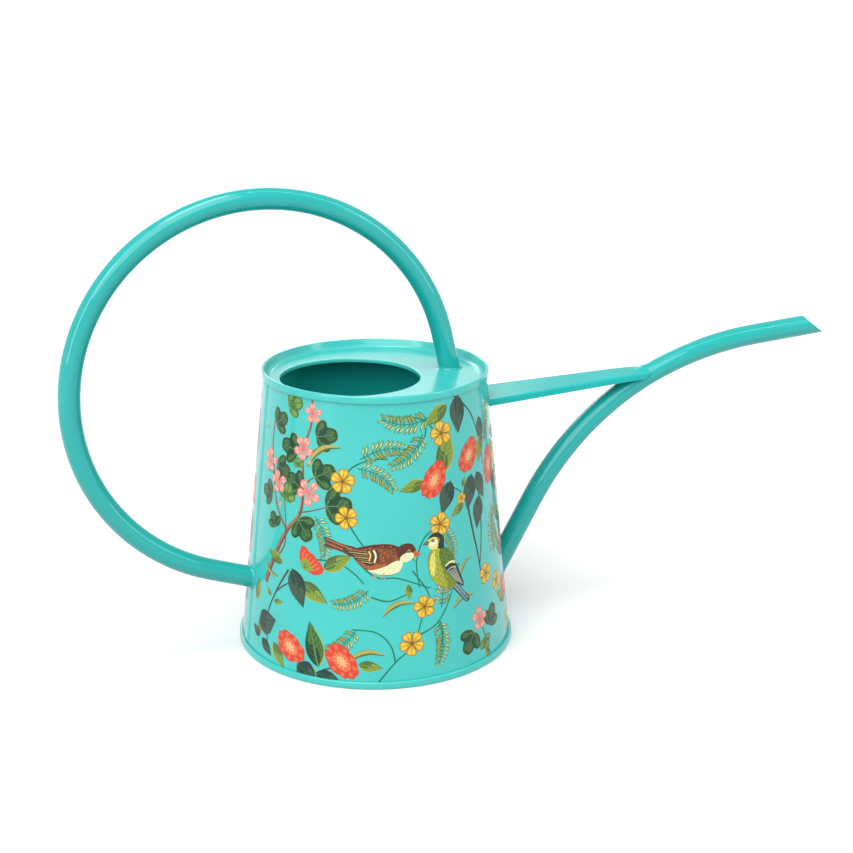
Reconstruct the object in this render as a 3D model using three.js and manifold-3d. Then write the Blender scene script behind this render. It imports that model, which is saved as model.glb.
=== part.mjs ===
// Long-reach watering can for house plants, welded up from thin enamelled steel.
// Millimetres, +Z up. The origin is on the floor under the centre of the round base,
// the spout points along +X and the handle loops out over -X.

import * as THREE from "three";
import { mergeVertices } from "three/addons/utils/BufferGeometryUtils.js";
import Module from "manifold-3d";

const wasm = await Module();
wasm.setup();

// ---- Driving dimensions ----------------------------------------------------

const GAP = 0.3; // clearance between neighbouring pieces
const SHEET = 0.6; // wall, cover and base
const ROUND_STEPS = 72; // facets round the body

const BODY_HEIGHT = 130.4; // floor to the top of the rim
const BASE_RADIUS = 64.5; // outside of the base seam
const RIM_RADIUS = 51.6; // outside of the rim seam
const SEAM_HEIGHT = 3.4; // height of either rolled seam
const WALL_FOOT_RADIUS = 63.1; // outside of the wall where it leaves the base seam
const WALL_HEAD_RADIUS = 50.8; // outside of the wall where it enters the rim seam
const BASE_RECESS = 2; // height of the base plate over the floor
const BASE_LIP = 2.9; // width of the ring that the can stands on
const COVER_RECESS = 4; // depth of the cover plate below the rim
const FILLER_RADIUS = 31.6;
const FILLER_X = -11.9; // the filler opening sits towards the handle
const SIDE_SEAM_WIDTH = 6; // flat lock seam down the back of the wall
const SIDE_SEAM_RISE = 0.6;

const HANDLE_LOOP_RADIUS = 86; // to the middle of the tube
const HANDLE_LOOP_X = -51.5;
const HANDLE_LOOP_Z = 122.85;
const HANDLE_TUBE_RADIUS = 4.9;
const HANDLE_TUBE_WALL = 0.8;
const HANDLE_FRONT_ANGLE = 13; // degrees round the loop where it straightens to the cover
const HANDLE_BACK_ANGLE = 252; // and where it straightens to the wall
const HANDLE_STRAIGHT = 26; // long enough to pass into the cover or the wall

const SPOUT_ROOT_X = 60.9; // where the middle of the spout crosses the wall
const SPOUT_ROOT_Z = 23.7;
const SPOUT_LEAD = 8; // extra length inside the wall, trimmed to SPOUT_REACH
const SPOUT_REACH = 2; // how far the spout stands inside the wall
const SPOUT_RISE = 61.3; // degrees above level, as it leaves the wall
const SPOUT_FIRST_RUN = 38.5; // straight length outside the wall
const SPOUT_BENDS = [
  { radius: 136, heading: 21.5 }, // each bend ends at its heading, in degrees
  { radius: 170, heading: 5 },
];
const SPOUT_LAST_RUN = 52; // straight length at the tip, before the angled cut
const SPOUT_TUBE_RADIUS = 5.05;
const SPOUT_TUBE_WALL = 0.8;
const LIP_X = 235.7; // lowest, furthest point of the angled mouth
const LIP_Z = 128.3;
const MOUTH_ANGLE = 37; // the mouth slopes down towards the lip by this

const BRACE_X = 51.8; // top of the brace at the wall
const BRACE_Z = 112.9;
const BRACE_RISE = 3.2; // degrees
const BRACE_LENGTH = 86;
const BRACE_WALL_WIDTH = 24.2;
const BRACE_TIP_WIDTH = 12.6;
const BRACE_DEPTH = 3; // height of its turned-down edges
const BRACE_SHEET = 0.8;

const WELD_SIZE = 1.5; // reach of each weld bead over its two faces
const OVERRUN = 20; // how far a cutting solid runs past what it cuts

// ---- Helpers ---------------------------------------------------------------

function radians(degrees) {
  return THREE.MathUtils.degToRad(degrees);
}

// A solid from a closed geometry: only positions, shared vertices, no collapsed faces.
function solid(geometry) {
  const bare = geometry.clone();
  bare.deleteAttribute("normal");
  bare.deleteAttribute("uv");
  const merged = mergeVertices(bare, 1e-4);
  const index = merged.index.array;
  const triangles = [];
  for (let i = 0; i < index.length; i += 3) {
    const [a, b, c] = index.slice(i, i + 3);
    if (a !== b && b !== c && c !== a) triangles.push(a, b, c);
  }
  return new wasm.Manifold(
    new wasm.Mesh({
      numProp: 3,
      vertProperties: new Float32Array(merged.attributes.position.array),
      triVerts: new Uint32Array(triangles),
    }),
  );
}

// Turns an outline of [radius, height] points about Z. The outline runs anticlockwise.
function revolve(outline) {
  const points = outline.map(([r, z]) => new THREE.Vector2(r, z));
  return solid(new THREE.LatheGeometry(points, ROUND_STEPS).rotateX(Math.PI / 2));
}

// A box between two corners.
function block(low, high) {
  const size = high.map((v, i) => v - low[i]);
  const middle = high.map((v, i) => (v + low[i]) / 2);
  return solid(new THREE.BoxGeometry(...size).translate(...middle));
}

// A flat path drawn in the XZ plane, as a space curve.
class UprightCurve extends THREE.Curve {
  constructor(path) {
    super();
    this.path = path;
  }

  getPoint(t, target = new THREE.Vector3()) {
    const { x, y } = this.path.getPoint(t);
    return target.set(x, 0, y);
  }
}

// A tube along a curve, or a rod where the bore is 0.
function tube(curve, radius, bore, { steps, sides }) {
  const section = new THREE.Shape().absarc(0, 0, radius, 0, 2 * Math.PI);
  if (bore > 0) section.holes.push(new THREE.Path().absarc(0, 0, bore, 0, 2 * Math.PI, true));
  return solid(
    new THREE.ExtrudeGeometry(section, { extrudePath: curve, steps, curveSegments: sides / 2 }),
  );
}

// ---- Body ------------------------------------------------------------------

const wallFootZ = SEAM_HEIGHT;
const wallHeadZ = BODY_HEIGHT - SEAM_HEIGHT;
const coverZ = BODY_HEIGHT - COVER_RECESS;

// Outside radius of the tapered wall at a height.
function wallRadius(z) {
  return THREE.MathUtils.mapLinear(z, wallFootZ, wallHeadZ, WALL_FOOT_RADIUS, WALL_HEAD_RADIUS);
}

// A solid cone that stands off the wall's outside by an offset.
function wallCone(offset, low = -OVERRUN, high = BODY_HEIGHT + OVERRUN) {
  return revolve([
    [0, low],
    [wallRadius(low) + offset, low],
    [wallRadius(high) + offset, high],
    [0, high],
  ]);
}

// The wall is one sheet rolled into a cone and locked to itself in a flat seam at the back.
function bodyWall(spoutHole) {
  const low = SHEET + 2 * GAP;
  const high = BODY_HEIGHT - SHEET - GAP;
  const sheet = wallCone(0, low, high);
  const lockSeam = wallCone(SIDE_SEAM_RISE, wallFootZ + GAP, wallHeadZ - GAP).intersect(
    block(
      [-BASE_RADIUS - SHEET, -SIDE_SEAM_WIDTH / 2, 0],
      [-WALL_HEAD_RADIUS / 2, SIDE_SEAM_WIDTH / 2, BODY_HEIGHT],
    ),
  );
  return sheet.add(lockSeam).subtract(wallCone(-SHEET)).subtract(spoutHole);
}

// The base plate turns down to a standing ring and up again round the foot of the wall.
function basePlate() {
  const ringInside = BASE_RADIUS - BASE_LIP;
  const channelInside = wallRadius(wallFootZ) - SHEET - GAP;
  const channelOutside = wallRadius(0) + GAP;
  return revolve([
    [0, BASE_RECESS],
    [ringInside, BASE_RECESS],
    [ringInside, 0],
    [BASE_RADIUS, 0],
    [BASE_RADIUS, SEAM_HEIGHT],
    [channelOutside, SEAM_HEIGHT],
    [channelOutside, SHEET],
    [channelInside, SHEET],
    [channelInside, BASE_RECESS + SHEET],
    [0, BASE_RECESS + SHEET],
  ]);
}

// The cover plate sits inside the rim, which is its own edge turned over the wall.
function coverPlate() {
  const channelOutside = wallRadius(wallHeadZ) + GAP;
  const channelInside = wallRadius(BODY_HEIGHT) - SHEET - GAP;
  const plate = revolve([
    [0, coverZ - SHEET],
    [channelInside - SHEET / 2, coverZ - SHEET],
    [channelInside, coverZ],
    [channelInside, BODY_HEIGHT - SHEET],
    [channelOutside, BODY_HEIGHT - SHEET],
    [channelOutside, wallHeadZ],
    [RIM_RADIUS, wallHeadZ],
    [RIM_RADIUS, BODY_HEIGHT - SHEET],
    [RIM_RADIUS - SHEET / 2, BODY_HEIGHT],
    [channelInside - SHEET, BODY_HEIGHT],
    [channelInside - 2 * SHEET, coverZ + SHEET],
    [channelInside - 3 * SHEET, coverZ],
    [0, coverZ],
  ]);
  const filler = new THREE.CylinderGeometry(FILLER_RADIUS, FILLER_RADIUS, OVERRUN, ROUND_STEPS);
  return plate.subtract(solid(filler.rotateX(Math.PI / 2).translate(FILLER_X, 0, coverZ)));
}

// A bead of sealant inside the base seam.
function baseSeamSeal() {
  const z = BASE_RECESS + SHEET + GAP;
  const r = wallRadius(z) - SHEET - GAP;
  return revolve([
    [r - WELD_SIZE, z],
    [r, z],
    [r - GAP / 2, z + WELD_SIZE],
    [r - WELD_SIZE, z],
  ]);
}

// ---- Handle ----------------------------------------------------------------

// Most of a circle, with a straight end down to the cover and another in to the wall.
function handleCurve() {
  const front = radians(HANDLE_FRONT_ANGLE);
  const back = radians(HANDLE_BACK_ANGLE);
  const onLoop = (angle, along) => [
    HANDLE_LOOP_X + HANDLE_LOOP_RADIUS * Math.cos(angle) - along * Math.sin(angle),
    HANDLE_LOOP_Z + HANDLE_LOOP_RADIUS * Math.sin(angle) + along * Math.cos(angle),
  ];
  const path = new THREE.Path()
    .moveTo(...onLoop(front, -HANDLE_STRAIGHT))
    .lineTo(...onLoop(front, 0))
    .absarc(HANDLE_LOOP_X, HANDLE_LOOP_Z, HANDLE_LOOP_RADIUS, front, back)
    .lineTo(...onLoop(back, HANDLE_STRAIGHT));
  return new UprightCurve(path);
}

function handleRod(radius, bore) {
  return tube(handleCurve(), radius, bore, { steps: 54, sides: 16 });
}

// Everything below the cover plate and inside the wall, less a clearance.
function bodyEnvelope(clearance) {
  return wallCone(SIDE_SEAM_RISE + clearance, 0, coverZ + clearance);
}

function handleTube() {
  return handleRod(HANDLE_TUBE_RADIUS, HANDLE_TUBE_RADIUS - HANDLE_TUBE_WALL).subtract(bodyEnvelope(GAP));
}

// Both handle welds at once: a collar round the tube, hugging the cover or the wall.
function handleWelds() {
  return handleRod(HANDLE_TUBE_RADIUS + WELD_SIZE, HANDLE_TUBE_RADIUS + GAP)
    .intersect(bodyEnvelope(WELD_SIZE))
    .subtract(bodyEnvelope(GAP));
}

// ---- Spout -----------------------------------------------------------------

// A straight run up from the wall, two long bends and a straight run to the tip.
function spoutCurve() {
  let heading = radians(SPOUT_RISE);
  const path = new THREE.Path().moveTo(
    SPOUT_ROOT_X - SPOUT_LEAD * Math.cos(heading),
    SPOUT_ROOT_Z - SPOUT_LEAD * Math.sin(heading),
  );
  path.lineTo(
    SPOUT_ROOT_X + SPOUT_FIRST_RUN * Math.cos(heading),
    SPOUT_ROOT_Z + SPOUT_FIRST_RUN * Math.sin(heading),
  );
  for (const bend of SPOUT_BENDS) {
    const next = radians(bend.heading);
    const { x, y } = path.currentPoint;
    const centre = [x + bend.radius * Math.sin(heading), y - bend.radius * Math.cos(heading)];
    path.absarc(...centre, bend.radius, heading + Math.PI / 2, next + Math.PI / 2, true);
    heading = next;
  }
  const { x, y } = path.currentPoint;
  path.lineTo(x + SPOUT_LAST_RUN * Math.cos(heading), y + SPOUT_LAST_RUN * Math.sin(heading));
  return new UprightCurve(path);
}

function spoutRod(extra, bore) {
  return tube(spoutCurve(), SPOUT_TUBE_RADIUS + extra, bore, { steps: 44, sides: 16 });
}

function spoutTube() {
  const mouth = new THREE.BoxGeometry(3 * OVERRUN, OVERRUN, OVERRUN)
    .translate(0, 0, OVERRUN / 2)
    .rotateY(radians(MOUTH_ANGLE))
    .translate(LIP_X, 0, LIP_Z);
  return spoutRod(0, SPOUT_TUBE_RADIUS - SPOUT_TUBE_WALL)
    .subtract(wallCone(-SHEET - SPOUT_REACH))
    .subtract(solid(mouth));
}

function spoutWeld() {
  return spoutRod(WELD_SIZE, SPOUT_TUBE_RADIUS + GAP)
    .intersect(wallCone(WELD_SIZE))
    .subtract(wallCone(GAP));
}

// ---- Brace -----------------------------------------------------------------

// The brace's outline in plan as a slab between two depths below its top, each side moved out
// by an amount. It starts inside the wall and may run past the brace's end.
function braceSlab({ grow = 0, past = 0, top = 0, bottom = BRACE_DEPTH }) {
  const widthAt = (x) =>
    THREE.MathUtils.mapLinear(x, 0, BRACE_LENGTH, BRACE_WALL_WIDTH, BRACE_TIP_WIDTH) / 2 + grow;
  const start = -BRACE_DEPTH;
  const end = BRACE_LENGTH + past;
  const outline = new THREE.Shape([
    new THREE.Vector2(start, -widthAt(start)),
    new THREE.Vector2(end, -widthAt(end)),
    new THREE.Vector2(end, widthAt(end)),
    new THREE.Vector2(start, widthAt(start)),
  ]);
  const slab = new THREE.ExtrudeGeometry(outline, { depth: bottom - top, bevelEnabled: false });
  return solid(
    slab
      .translate(0, 0, -bottom)
      .rotateY(-radians(BRACE_RISE))
      .translate(BRACE_X, 0, BRACE_Z),
  );
}

// A channel with its edges turned down, open at the spout end, where it straddles the tube.
function spoutBrace() {
  const hollow = { grow: -BRACE_SHEET, past: OVERRUN, top: BRACE_SHEET, bottom: OVERRUN };
  return braceSlab({})
    .subtract(braceSlab(hollow))
    .subtract(wallCone(GAP))
    .subtract(spoutRod(GAP, 0));
}

function braceBodyWeld() {
  return braceSlab({ grow: WELD_SIZE, top: -WELD_SIZE })
    .intersect(wallCone(WELD_SIZE))
    .subtract(wallCone(GAP))
    .subtract(braceSlab({ grow: GAP, top: -GAP, bottom: OVERRUN }));
}

// A bead over the top half of the spout, just past the end of the brace.
function braceSpoutWeld() {
  const tipX = BRACE_X + BRACE_LENGTH * Math.cos(radians(BRACE_RISE));
  const tipZ = BRACE_Z + BRACE_LENGTH * Math.sin(radians(BRACE_RISE)) - BRACE_DEPTH;
  const halfWidth = SPOUT_TUBE_RADIUS + WELD_SIZE;
  return spoutRod(WELD_SIZE, SPOUT_TUBE_RADIUS + GAP).intersect(
    block([tipX + GAP, -halfWidth, tipZ], [tipX + GAP + 2 * WELD_SIZE, halfWidth, BODY_HEIGHT]),
  );
}

// ---- Assembly --------------------------------------------------------------

const enamel = () => new THREE.MeshStandardMaterial({ color: 0x46c8c0, roughness: 0.22, metalness: 0 });
const sealant = () => new THREE.MeshStandardMaterial({ color: 0x2f8f89, roughness: 0.6, metalness: 0 });

const can = new THREE.Group();

function addPiece(name, piece, material) {
  const { vertProperties, triVerts } = piece.getMesh();
  const geometry = new THREE.BufferGeometry();
  geometry.setAttribute("position", new THREE.BufferAttribute(new Float32Array(vertProperties), 3));
  geometry.setIndex(new THREE.BufferAttribute(new Uint32Array(triVerts), 1));
  geometry.computeVertexNormals();
  const mesh = new THREE.Mesh(geometry, material);
  mesh.name = name;
  can.add(mesh);
}

const aboveCover = block([-RIM_RADIUS, -RIM_RADIUS, coverZ], [RIM_RADIUS, RIM_RADIUS, BODY_HEIGHT]);

addPiece("body_wall", bodyWall(spoutRod(GAP, 0)), enamel());
addPiece("base_plate", basePlate(), enamel());
addPiece("cover_plate", coverPlate(), enamel());
addPiece("base_seam_seal", baseSeamSeal(), sealant());
addPiece("handle_tube", handleTube(), enamel());
addPiece("handle_upper_weld", handleWelds().intersect(aboveCover), enamel());
addPiece("handle_lower_weld", handleWelds().subtract(aboveCover), enamel());
addPiece("spout_tube", spoutTube(), enamel());
addPiece("spout_weld", spoutWeld(), enamel());
addPiece("spout_brace", spoutBrace(), enamel());
addPiece("brace_body_weld", braceBodyWeld(), enamel());
addPiece("brace_spout_weld", braceSpoutWeld(), enamel());

export default can;
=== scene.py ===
import math
import random

import bmesh
import bpy
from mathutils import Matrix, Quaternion, Vector, noise
from mathutils.geometry import delaunay_2d_cdt


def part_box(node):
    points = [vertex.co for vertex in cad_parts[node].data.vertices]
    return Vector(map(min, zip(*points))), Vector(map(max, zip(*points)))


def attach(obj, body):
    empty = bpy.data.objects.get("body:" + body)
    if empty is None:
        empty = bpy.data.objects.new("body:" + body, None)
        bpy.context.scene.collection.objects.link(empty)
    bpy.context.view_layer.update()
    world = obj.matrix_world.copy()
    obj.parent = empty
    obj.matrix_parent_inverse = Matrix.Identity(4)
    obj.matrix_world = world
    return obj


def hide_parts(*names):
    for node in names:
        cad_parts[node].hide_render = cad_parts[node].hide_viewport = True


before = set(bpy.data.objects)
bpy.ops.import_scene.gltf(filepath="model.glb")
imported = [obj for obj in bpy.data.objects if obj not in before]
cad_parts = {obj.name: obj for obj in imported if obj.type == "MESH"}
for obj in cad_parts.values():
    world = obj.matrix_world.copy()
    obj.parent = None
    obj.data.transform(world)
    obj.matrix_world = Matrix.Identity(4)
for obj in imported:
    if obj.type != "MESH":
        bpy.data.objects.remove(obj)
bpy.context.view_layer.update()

MM = 0.001


def frame_box(node):
    """Lowest and highest corner of a CAD node, in millimetres."""
    low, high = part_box(node)
    return low / MM, high / MM


# ---- Dimensions --------------------------------------------------------------------

base_box, cover_box = frame_box("base_plate"), frame_box("cover_plate")
handle_box, spout_box = frame_box("handle_tube"), frame_box("spout_tube")

BASE_RADIUS = base_box[1].x
SEAM_HEIGHT = base_box[1].z
RIM_RADIUS = cover_box[1].x
BODY_HEIGHT = cover_box[1].z
WALL_FOOT_RADIUS = 63.1  # outside of the wall at the top of the base seam
WALL_HEAD_RADIUS = 50.8  # and at the bottom of the rim seam
WALL_SHEET = 0.5
WALL_LOW_EDGE = 1.2  # the sheet runs on into both seams
WALL_HIGH_EDGE = BODY_HEIGHT - 2.4
BASE_RECESS = 2.0
COVER_Z = BODY_HEIGHT - 4
COVER_SHEET = 0.6
FILLER_RADIUS = 31.6
FILLER_X = -11.9
SIDE_SEAM_HALF_WIDTH = 3.0
SIDE_SEAM_RISE = 0.55
SIDE_SEAM_FACET = 0.2  # width of the narrow facets that carry the seam's rounded edges

HANDLE_RADIUS = handle_box[1].y
LOOP_RADIUS = 86.0
LOOP_X = handle_box[0].x + HANDLE_RADIUS + LOOP_RADIUS
LOOP_Z = handle_box[1].z - HANDLE_RADIUS - LOOP_RADIUS
LOOP_FRONT = math.radians(13)  # round the loop, where it straightens down to the cover
LOOP_BACK = math.radians(252)  # and where it straightens in to the wall

SPOUT_ROOT = (60.9, 23.7)  # where the middle of the spout crosses the wall, as (x, z)
SPOUT_RISE = math.radians(61.3)
SPOUT_FIRST_RUN = 38.5
SPOUT_BENDS = ((136, math.radians(39.8)), (170, math.radians(16.5)))  # radius and turn
SPOUT_LAST_RUN = 40.0
SPOUT_RADIUS = spout_box[1].y
SPOUT_WALL = 0.8
LIP = (235.7, 128.3)
MOUTH_ANGLE = math.radians(37)
MOUTH_SCOOP = 0.2

BRACE_START = (51.8, 112.9)  # top of the brace at the wall, as (x, z)
BRACE_SLOPE = math.tan(math.radians(3.2))
BRACE_END_X = 136.8
BRACE_WALL_HALF_WIDTH = 12.1
BRACE_TIP_HALF_WIDTH = 6.7
BRACE_DEPTH = 3.2
BRACE_SHEET = 0.8
BRACE_EDGE_RADIUS = 0.9
BRACE_BEND = (17, 0.4)  # over this last run its top drops by this much
BRACE_PINCH = (10, 0.6)  # over this last run its half width loses this much
BRACE_END_SLANT = 0.85  # how far the end leans back, per depth
BRACE_STAND_OFF = 0.2  # between the web and the spout under it

ROUND = 256  # facets round the body
TUBE_SIDES = 48
TUBE_SPACING = 2.5  # between the rings of a bent tube
STRAIGHT_STEPS = 4  # rings along each straight run


def clamp(x):
    return min(max(x, 0), 1)


def wall_radius(z):
    """Outside radius of the tapered wall at a height."""
    t = (z - SEAM_HEIGHT) / (BODY_HEIGHT - 2 * SEAM_HEIGHT)
    return WALL_FOOT_RADIUS + (WALL_HEAD_RADIUS - WALL_FOOT_RADIUS) * t


def lock_seam(p):
    """How far the lock seam stands out of the wall beside a point."""
    return SIDE_SEAM_RISE if p.x < 0 and abs(p.y) < SIDE_SEAM_HALF_WIDTH else 0


def pointing(heading):
    """The direction of a heading in the can's middle plane."""
    return Vector((math.cos(heading), 0, math.sin(heading)))


# ---- Materials ---------------------------------------------------------------------

SHEET_TEAL = (0.036, 0.418, 0.388)
# Darker copy of the sheet teal, though the tubes carry the same paint: painted shade
TUBE_TEAL_SHADED = (0.01, 0.322, 0.304)
# Darker copy of the sheet teal, the same paint, to dull the pale reflection on the brace's top: painted
# shade
BRACE_TEAL_SHADED = (0.016, 0.36, 0.342)
# Lighter copy of the sheet teal for the inside: painted light, to brighten the dim inside of the can
INSIDE_TEAL_PAINTED_LIGHT = (0.014, 0.5, 0.46)


class Nodes:
    """The node tree of a material or world, with short calls to add and link nodes."""

    def __init__(self, owner, shader="Principled BSDF"):
        owner.use_nodes = True
        self.owner, self.tree = owner, owner.node_tree
        self.shader = self.tree.nodes[shader]

    def add(self, kind, inputs=(), **settings):
        node = self.tree.nodes.new("ShaderNode" + kind)
        for key, value in settings.items():
            setattr(node, key, value)
        for key, value in dict(inputs).items():
            if isinstance(value, bpy.types.NodeSocket):
                self.tree.links.new(value, node.inputs[key])
            else:
                node.inputs[key].default_value = value
        return node

    def drive(self, socket, output):
        self.tree.links.new(output, self.shader.inputs[socket])

    def set(self, **values):
        for key, value in values.items():
            self.shader.inputs[key.replace("_", " ")].default_value = value

    def noise(self, scale, detail=2.0):
        place = self.add("TexCoord").outputs["Object"]
        inputs = {"Vector": place, "Scale": scale, "Detail": detail}
        return self.add("TexNoise", inputs).outputs["Fac"]

    def between(self, value, low, high, start=0.0, end=1.0):
        """Carries a value's range from start to end on to the range from low to high."""
        inputs = {"Value": value, "From Min": start, "From Max": end, "To Min": low, "To Max": high}
        return self.add("MapRange", inputs).outputs["Result"]

    def bump(self, height, strength, distance):
        inputs = {"Height": height, "Strength": strength, "Distance": distance}
        self.drive("Normal", self.add("Bump", inputs).outputs["Normal"])


def new_material(name):
    return Nodes(bpy.data.materials.new(name))


def enamel_material(name, colour, coat=0.4, gloss=0.3, sheen_red=1.0):
    """Sprayed gloss enamel: even colour, a faint orange peel and a clear, smooth top.
    coat is the weight of the clear top, gloss the base's own, and sheen_red the red in its sheen."""
    n = new_material(name)
    drift = n.noise(38.0, 3.0)
    darker = [c * 0.94 for c in colour] + [1.0]
    lighter = [min(c * 1.05, 1.0) for c in colour] + [1.0]
    blend = n.add("Mix", {"Factor": drift, "A": darker, "B": lighter}, data_type="RGBA")
    n.drive("Base Color", blend.outputs["Result"])
    n.drive("Roughness", n.between(n.noise(160.0), 0.16, 0.3))
    n.set(Coat_Weight=coat, Coat_Roughness=0.035, Specular_IOR_Level=gloss)
    n.set(Specular_Tint=(sheen_red, 1.0, 0.98, 1.0))
    n.bump(n.noise(520.0), 0.12, 0.00012)
    return n.owner


def sealant_material():
    n = new_material("seam_sealant")
    n.set(Base_Color=(0.03, 0.22, 0.2, 1.0))
    n.drive("Roughness", n.between(n.noise(300.0), 0.45, 0.7))
    n.bump(n.noise(900.0, 3.0), 0.4, 0.0003)
    return n.owner


enamel = enamel_material("sheet_enamel", SHEET_TEAL)
# Painted shade: the tube enamel is a darker copy of the sheet enamel, also used on the welds
tube_enamel_shaded = enamel_material("tube_enamel_shaded", TUBE_TEAL_SHADED, coat=0.75, gloss=0.08, sheen_red=0.8)
# Painted shade: the brace enamel is a darker copy of the sheet enamel
brace_enamel_shaded = enamel_material("brace_enamel_shaded", BRACE_TEAL_SHADED, coat=0.1, gloss=0.1, sheen_red=0.3)
# Painted light: the inside enamel is a lighter copy of the sheet enamel
inside_enamel_painted_light = enamel_material("inside_enamel_painted_light", INSIDE_TEAL_PAINTED_LIGHT)
sealant = sealant_material()


# ---- Mesh helpers ------------------------------------------------------------------


def add_object(name, data):
    thing = bpy.data.objects.new(name, data)
    bpy.context.scene.collection.objects.link(thing)
    return thing


def ride_body(piece):
    """Every piece rides on the can's one body."""
    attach(piece, "root")


def make_piece(name, points, faces, material, node, slot="teal_enamel", sharp=35):
    """A smooth-shaded mesh piece from millimetre points, in place of a CAD node."""
    mesh = bpy.data.meshes.new(name)
    mesh.from_pydata([Vector(p) * MM for p in points], [], faces)
    shape = bmesh.new()
    shape.from_mesh(mesh)
    bmesh.ops.recalc_face_normals(shape, faces=shape.faces)
    shape.to_mesh(mesh)
    shape.free()
    mesh.shade_smooth()
    mesh.set_sharp_from_angle(angle=math.radians(sharp))
    mesh.materials.append(material)
    piece = add_object(name, mesh)
    ride_body(piece)
    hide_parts(node)
    return piece


def loft(rings, closed=False):
    """Points and faces of a skin over rings of equal length. A closed one joins end to end."""
    count = len(rings[0])
    points = [p for ring in rings for p in ring]
    faces = []
    for i in range(len(rings) if closed else len(rings) - 1):
        low, high = i * count, (i + 1) % len(rings) * count
        for j in range(count):
            k = (j + 1) % count
            faces.append((low + j, low + k, high + k, high + j))
    return points, faces


def fractions_of_turn(count):
    """Equally spaced angles, once round."""
    return [2 * math.pi * i / count for i in range(count)]


def ring(radius, z, x=0.0):
    """A level circle round the body's axis, or round another upright axis at x."""
    return [(x + radius * math.cos(a), radius * math.sin(a), z) for a in fractions_of_turn(ROUND)]


def end_caps(points, count):
    """Faces that close the first and last ring of a skin."""
    last = len(points) - count
    return [tuple(range(count)), tuple(range(last, last + count))]


def mix_rings(a, b, t):
    return [tuple(Vector(p).lerp(Vector(q), t)) for p, q in zip(a, b)]


def arc(centre, radius, start, end, steps):
    """Points on an arc in a plane, angles in degrees."""
    angles = [math.radians(start + (end - start) * i / steps) for i in range(steps + 1)]
    return [(centre[0] + radius * math.cos(a), centre[1] + radius * math.sin(a)) for a in angles]


def bisect(outside, low, high):
    """Where a line leaves a solid: outside(t) is false at low and true at high."""
    for _ in range(40):
        middle = (low + high) / 2
        if outside(middle):
            high = middle
        else:
            low = middle
    return high


# ---- Body --------------------------------------------------------------------------


def make_wall():
    """One rolled sheet, with the flat lock seam raised down the back."""
    rows, edge_blend, end_blend = 26, 0.6, 1.0
    facet = SIDE_SEAM_FACET
    fine = [math.pi + i * facet / WALL_HEAD_RADIUS for i in range(-22, 23)]
    near = 23 * facet / WALL_HEAD_RADIUS
    turns = sorted([a for a in fractions_of_turn(ROUND) if abs(a - math.pi) > near] + fine)

    def rise(angle, z):
        """How far the lock seam stands out: a flat strip with rounded edges."""
        across = abs(angle - math.pi) * wall_radius(z)
        edge = clamp((SIDE_SEAM_HALF_WIDTH - across) / edge_blend + 0.5)
        along = clamp((z - SEAM_HEIGHT) / end_blend) * clamp((BODY_HEIGHT - SEAM_HEIGHT - z) / end_blend)
        return SIDE_SEAM_RISE * edge * edge * (3 - 2 * edge) * along

    def row(z, offset, seam):
        radii = [wall_radius(z) + offset + (rise(a, z) if seam else 0) for a in turns]
        return [(r * math.cos(a), r * math.sin(a), z) for r, a in zip(radii, turns)]

    heights = [WALL_LOW_EDGE + (WALL_HIGH_EDGE - WALL_LOW_EDGE) * i / rows for i in range(rows + 1)]
    heights += [SEAM_HEIGHT, SEAM_HEIGHT + end_blend]
    heights += [BODY_HEIGHT - SEAM_HEIGHT - end_blend, BODY_HEIGHT - SEAM_HEIGHT]
    heights.sort()
    rings = [row(z, 0, True) for z in heights]
    rings += [row(z, -WALL_SHEET, False) for z in reversed(heights)]
    skin = loft(rings, closed=True)
    wall = make_piece("body_wall_steel", *skin, enamel, "body_wall", "printed_enamel")
    # Inward faces take the lighter copy: painted light inside the can
    wall.data.materials.append(inside_enamel_painted_light)
    for face in wall.data.polygons:
        face.material_index = int(face.center.xy.dot(face.normal.xy) < 0)


def make_base():
    """Recessed plate whose edge rolls under and up round the foot of the wall."""
    inside = BASE_RADIUS - 2.9  # where the recess turns down to the standing ring
    outline = [(inside - 1.2, BASE_RECESS)]
    outline += arc((inside - 0.6, BASE_RECESS - 0.6), 0.6, 90, 0, 4)
    outline += arc((inside + 0.7, 0.7), 0.7, 180, 270, 5)
    outline += arc((BASE_RADIUS - 1.0, 1.0), 1.0, 270, 360, 8)
    outline += arc((BASE_RADIUS - 0.55, SEAM_HEIGHT - 0.55), 0.55, 0, 90, 6)
    outline += arc((wall_radius(SEAM_HEIGHT) + 0.35, SEAM_HEIGHT - 0.3), 0.3, 90, 180, 4)
    outline += [(wall_radius(1) + 0.1, 0.9), (wall_radius(1) - 0.8, 0.9), (wall_radius(3) - 0.9, 2.6)]
    rings = [ring(r, BASE_RECESS) for r in (0.5, 20, 40, 55)]
    rings += [ring(r, z) for r, z in outline]
    rings += [ring(r, BASE_RECESS + COVER_SHEET) for r in (59, 40, 20, 0.5)]
    points, faces = loft(rings)
    make_piece("base_plate_steel", points, faces + end_caps(points, ROUND), enamel, "base_plate")


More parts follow.
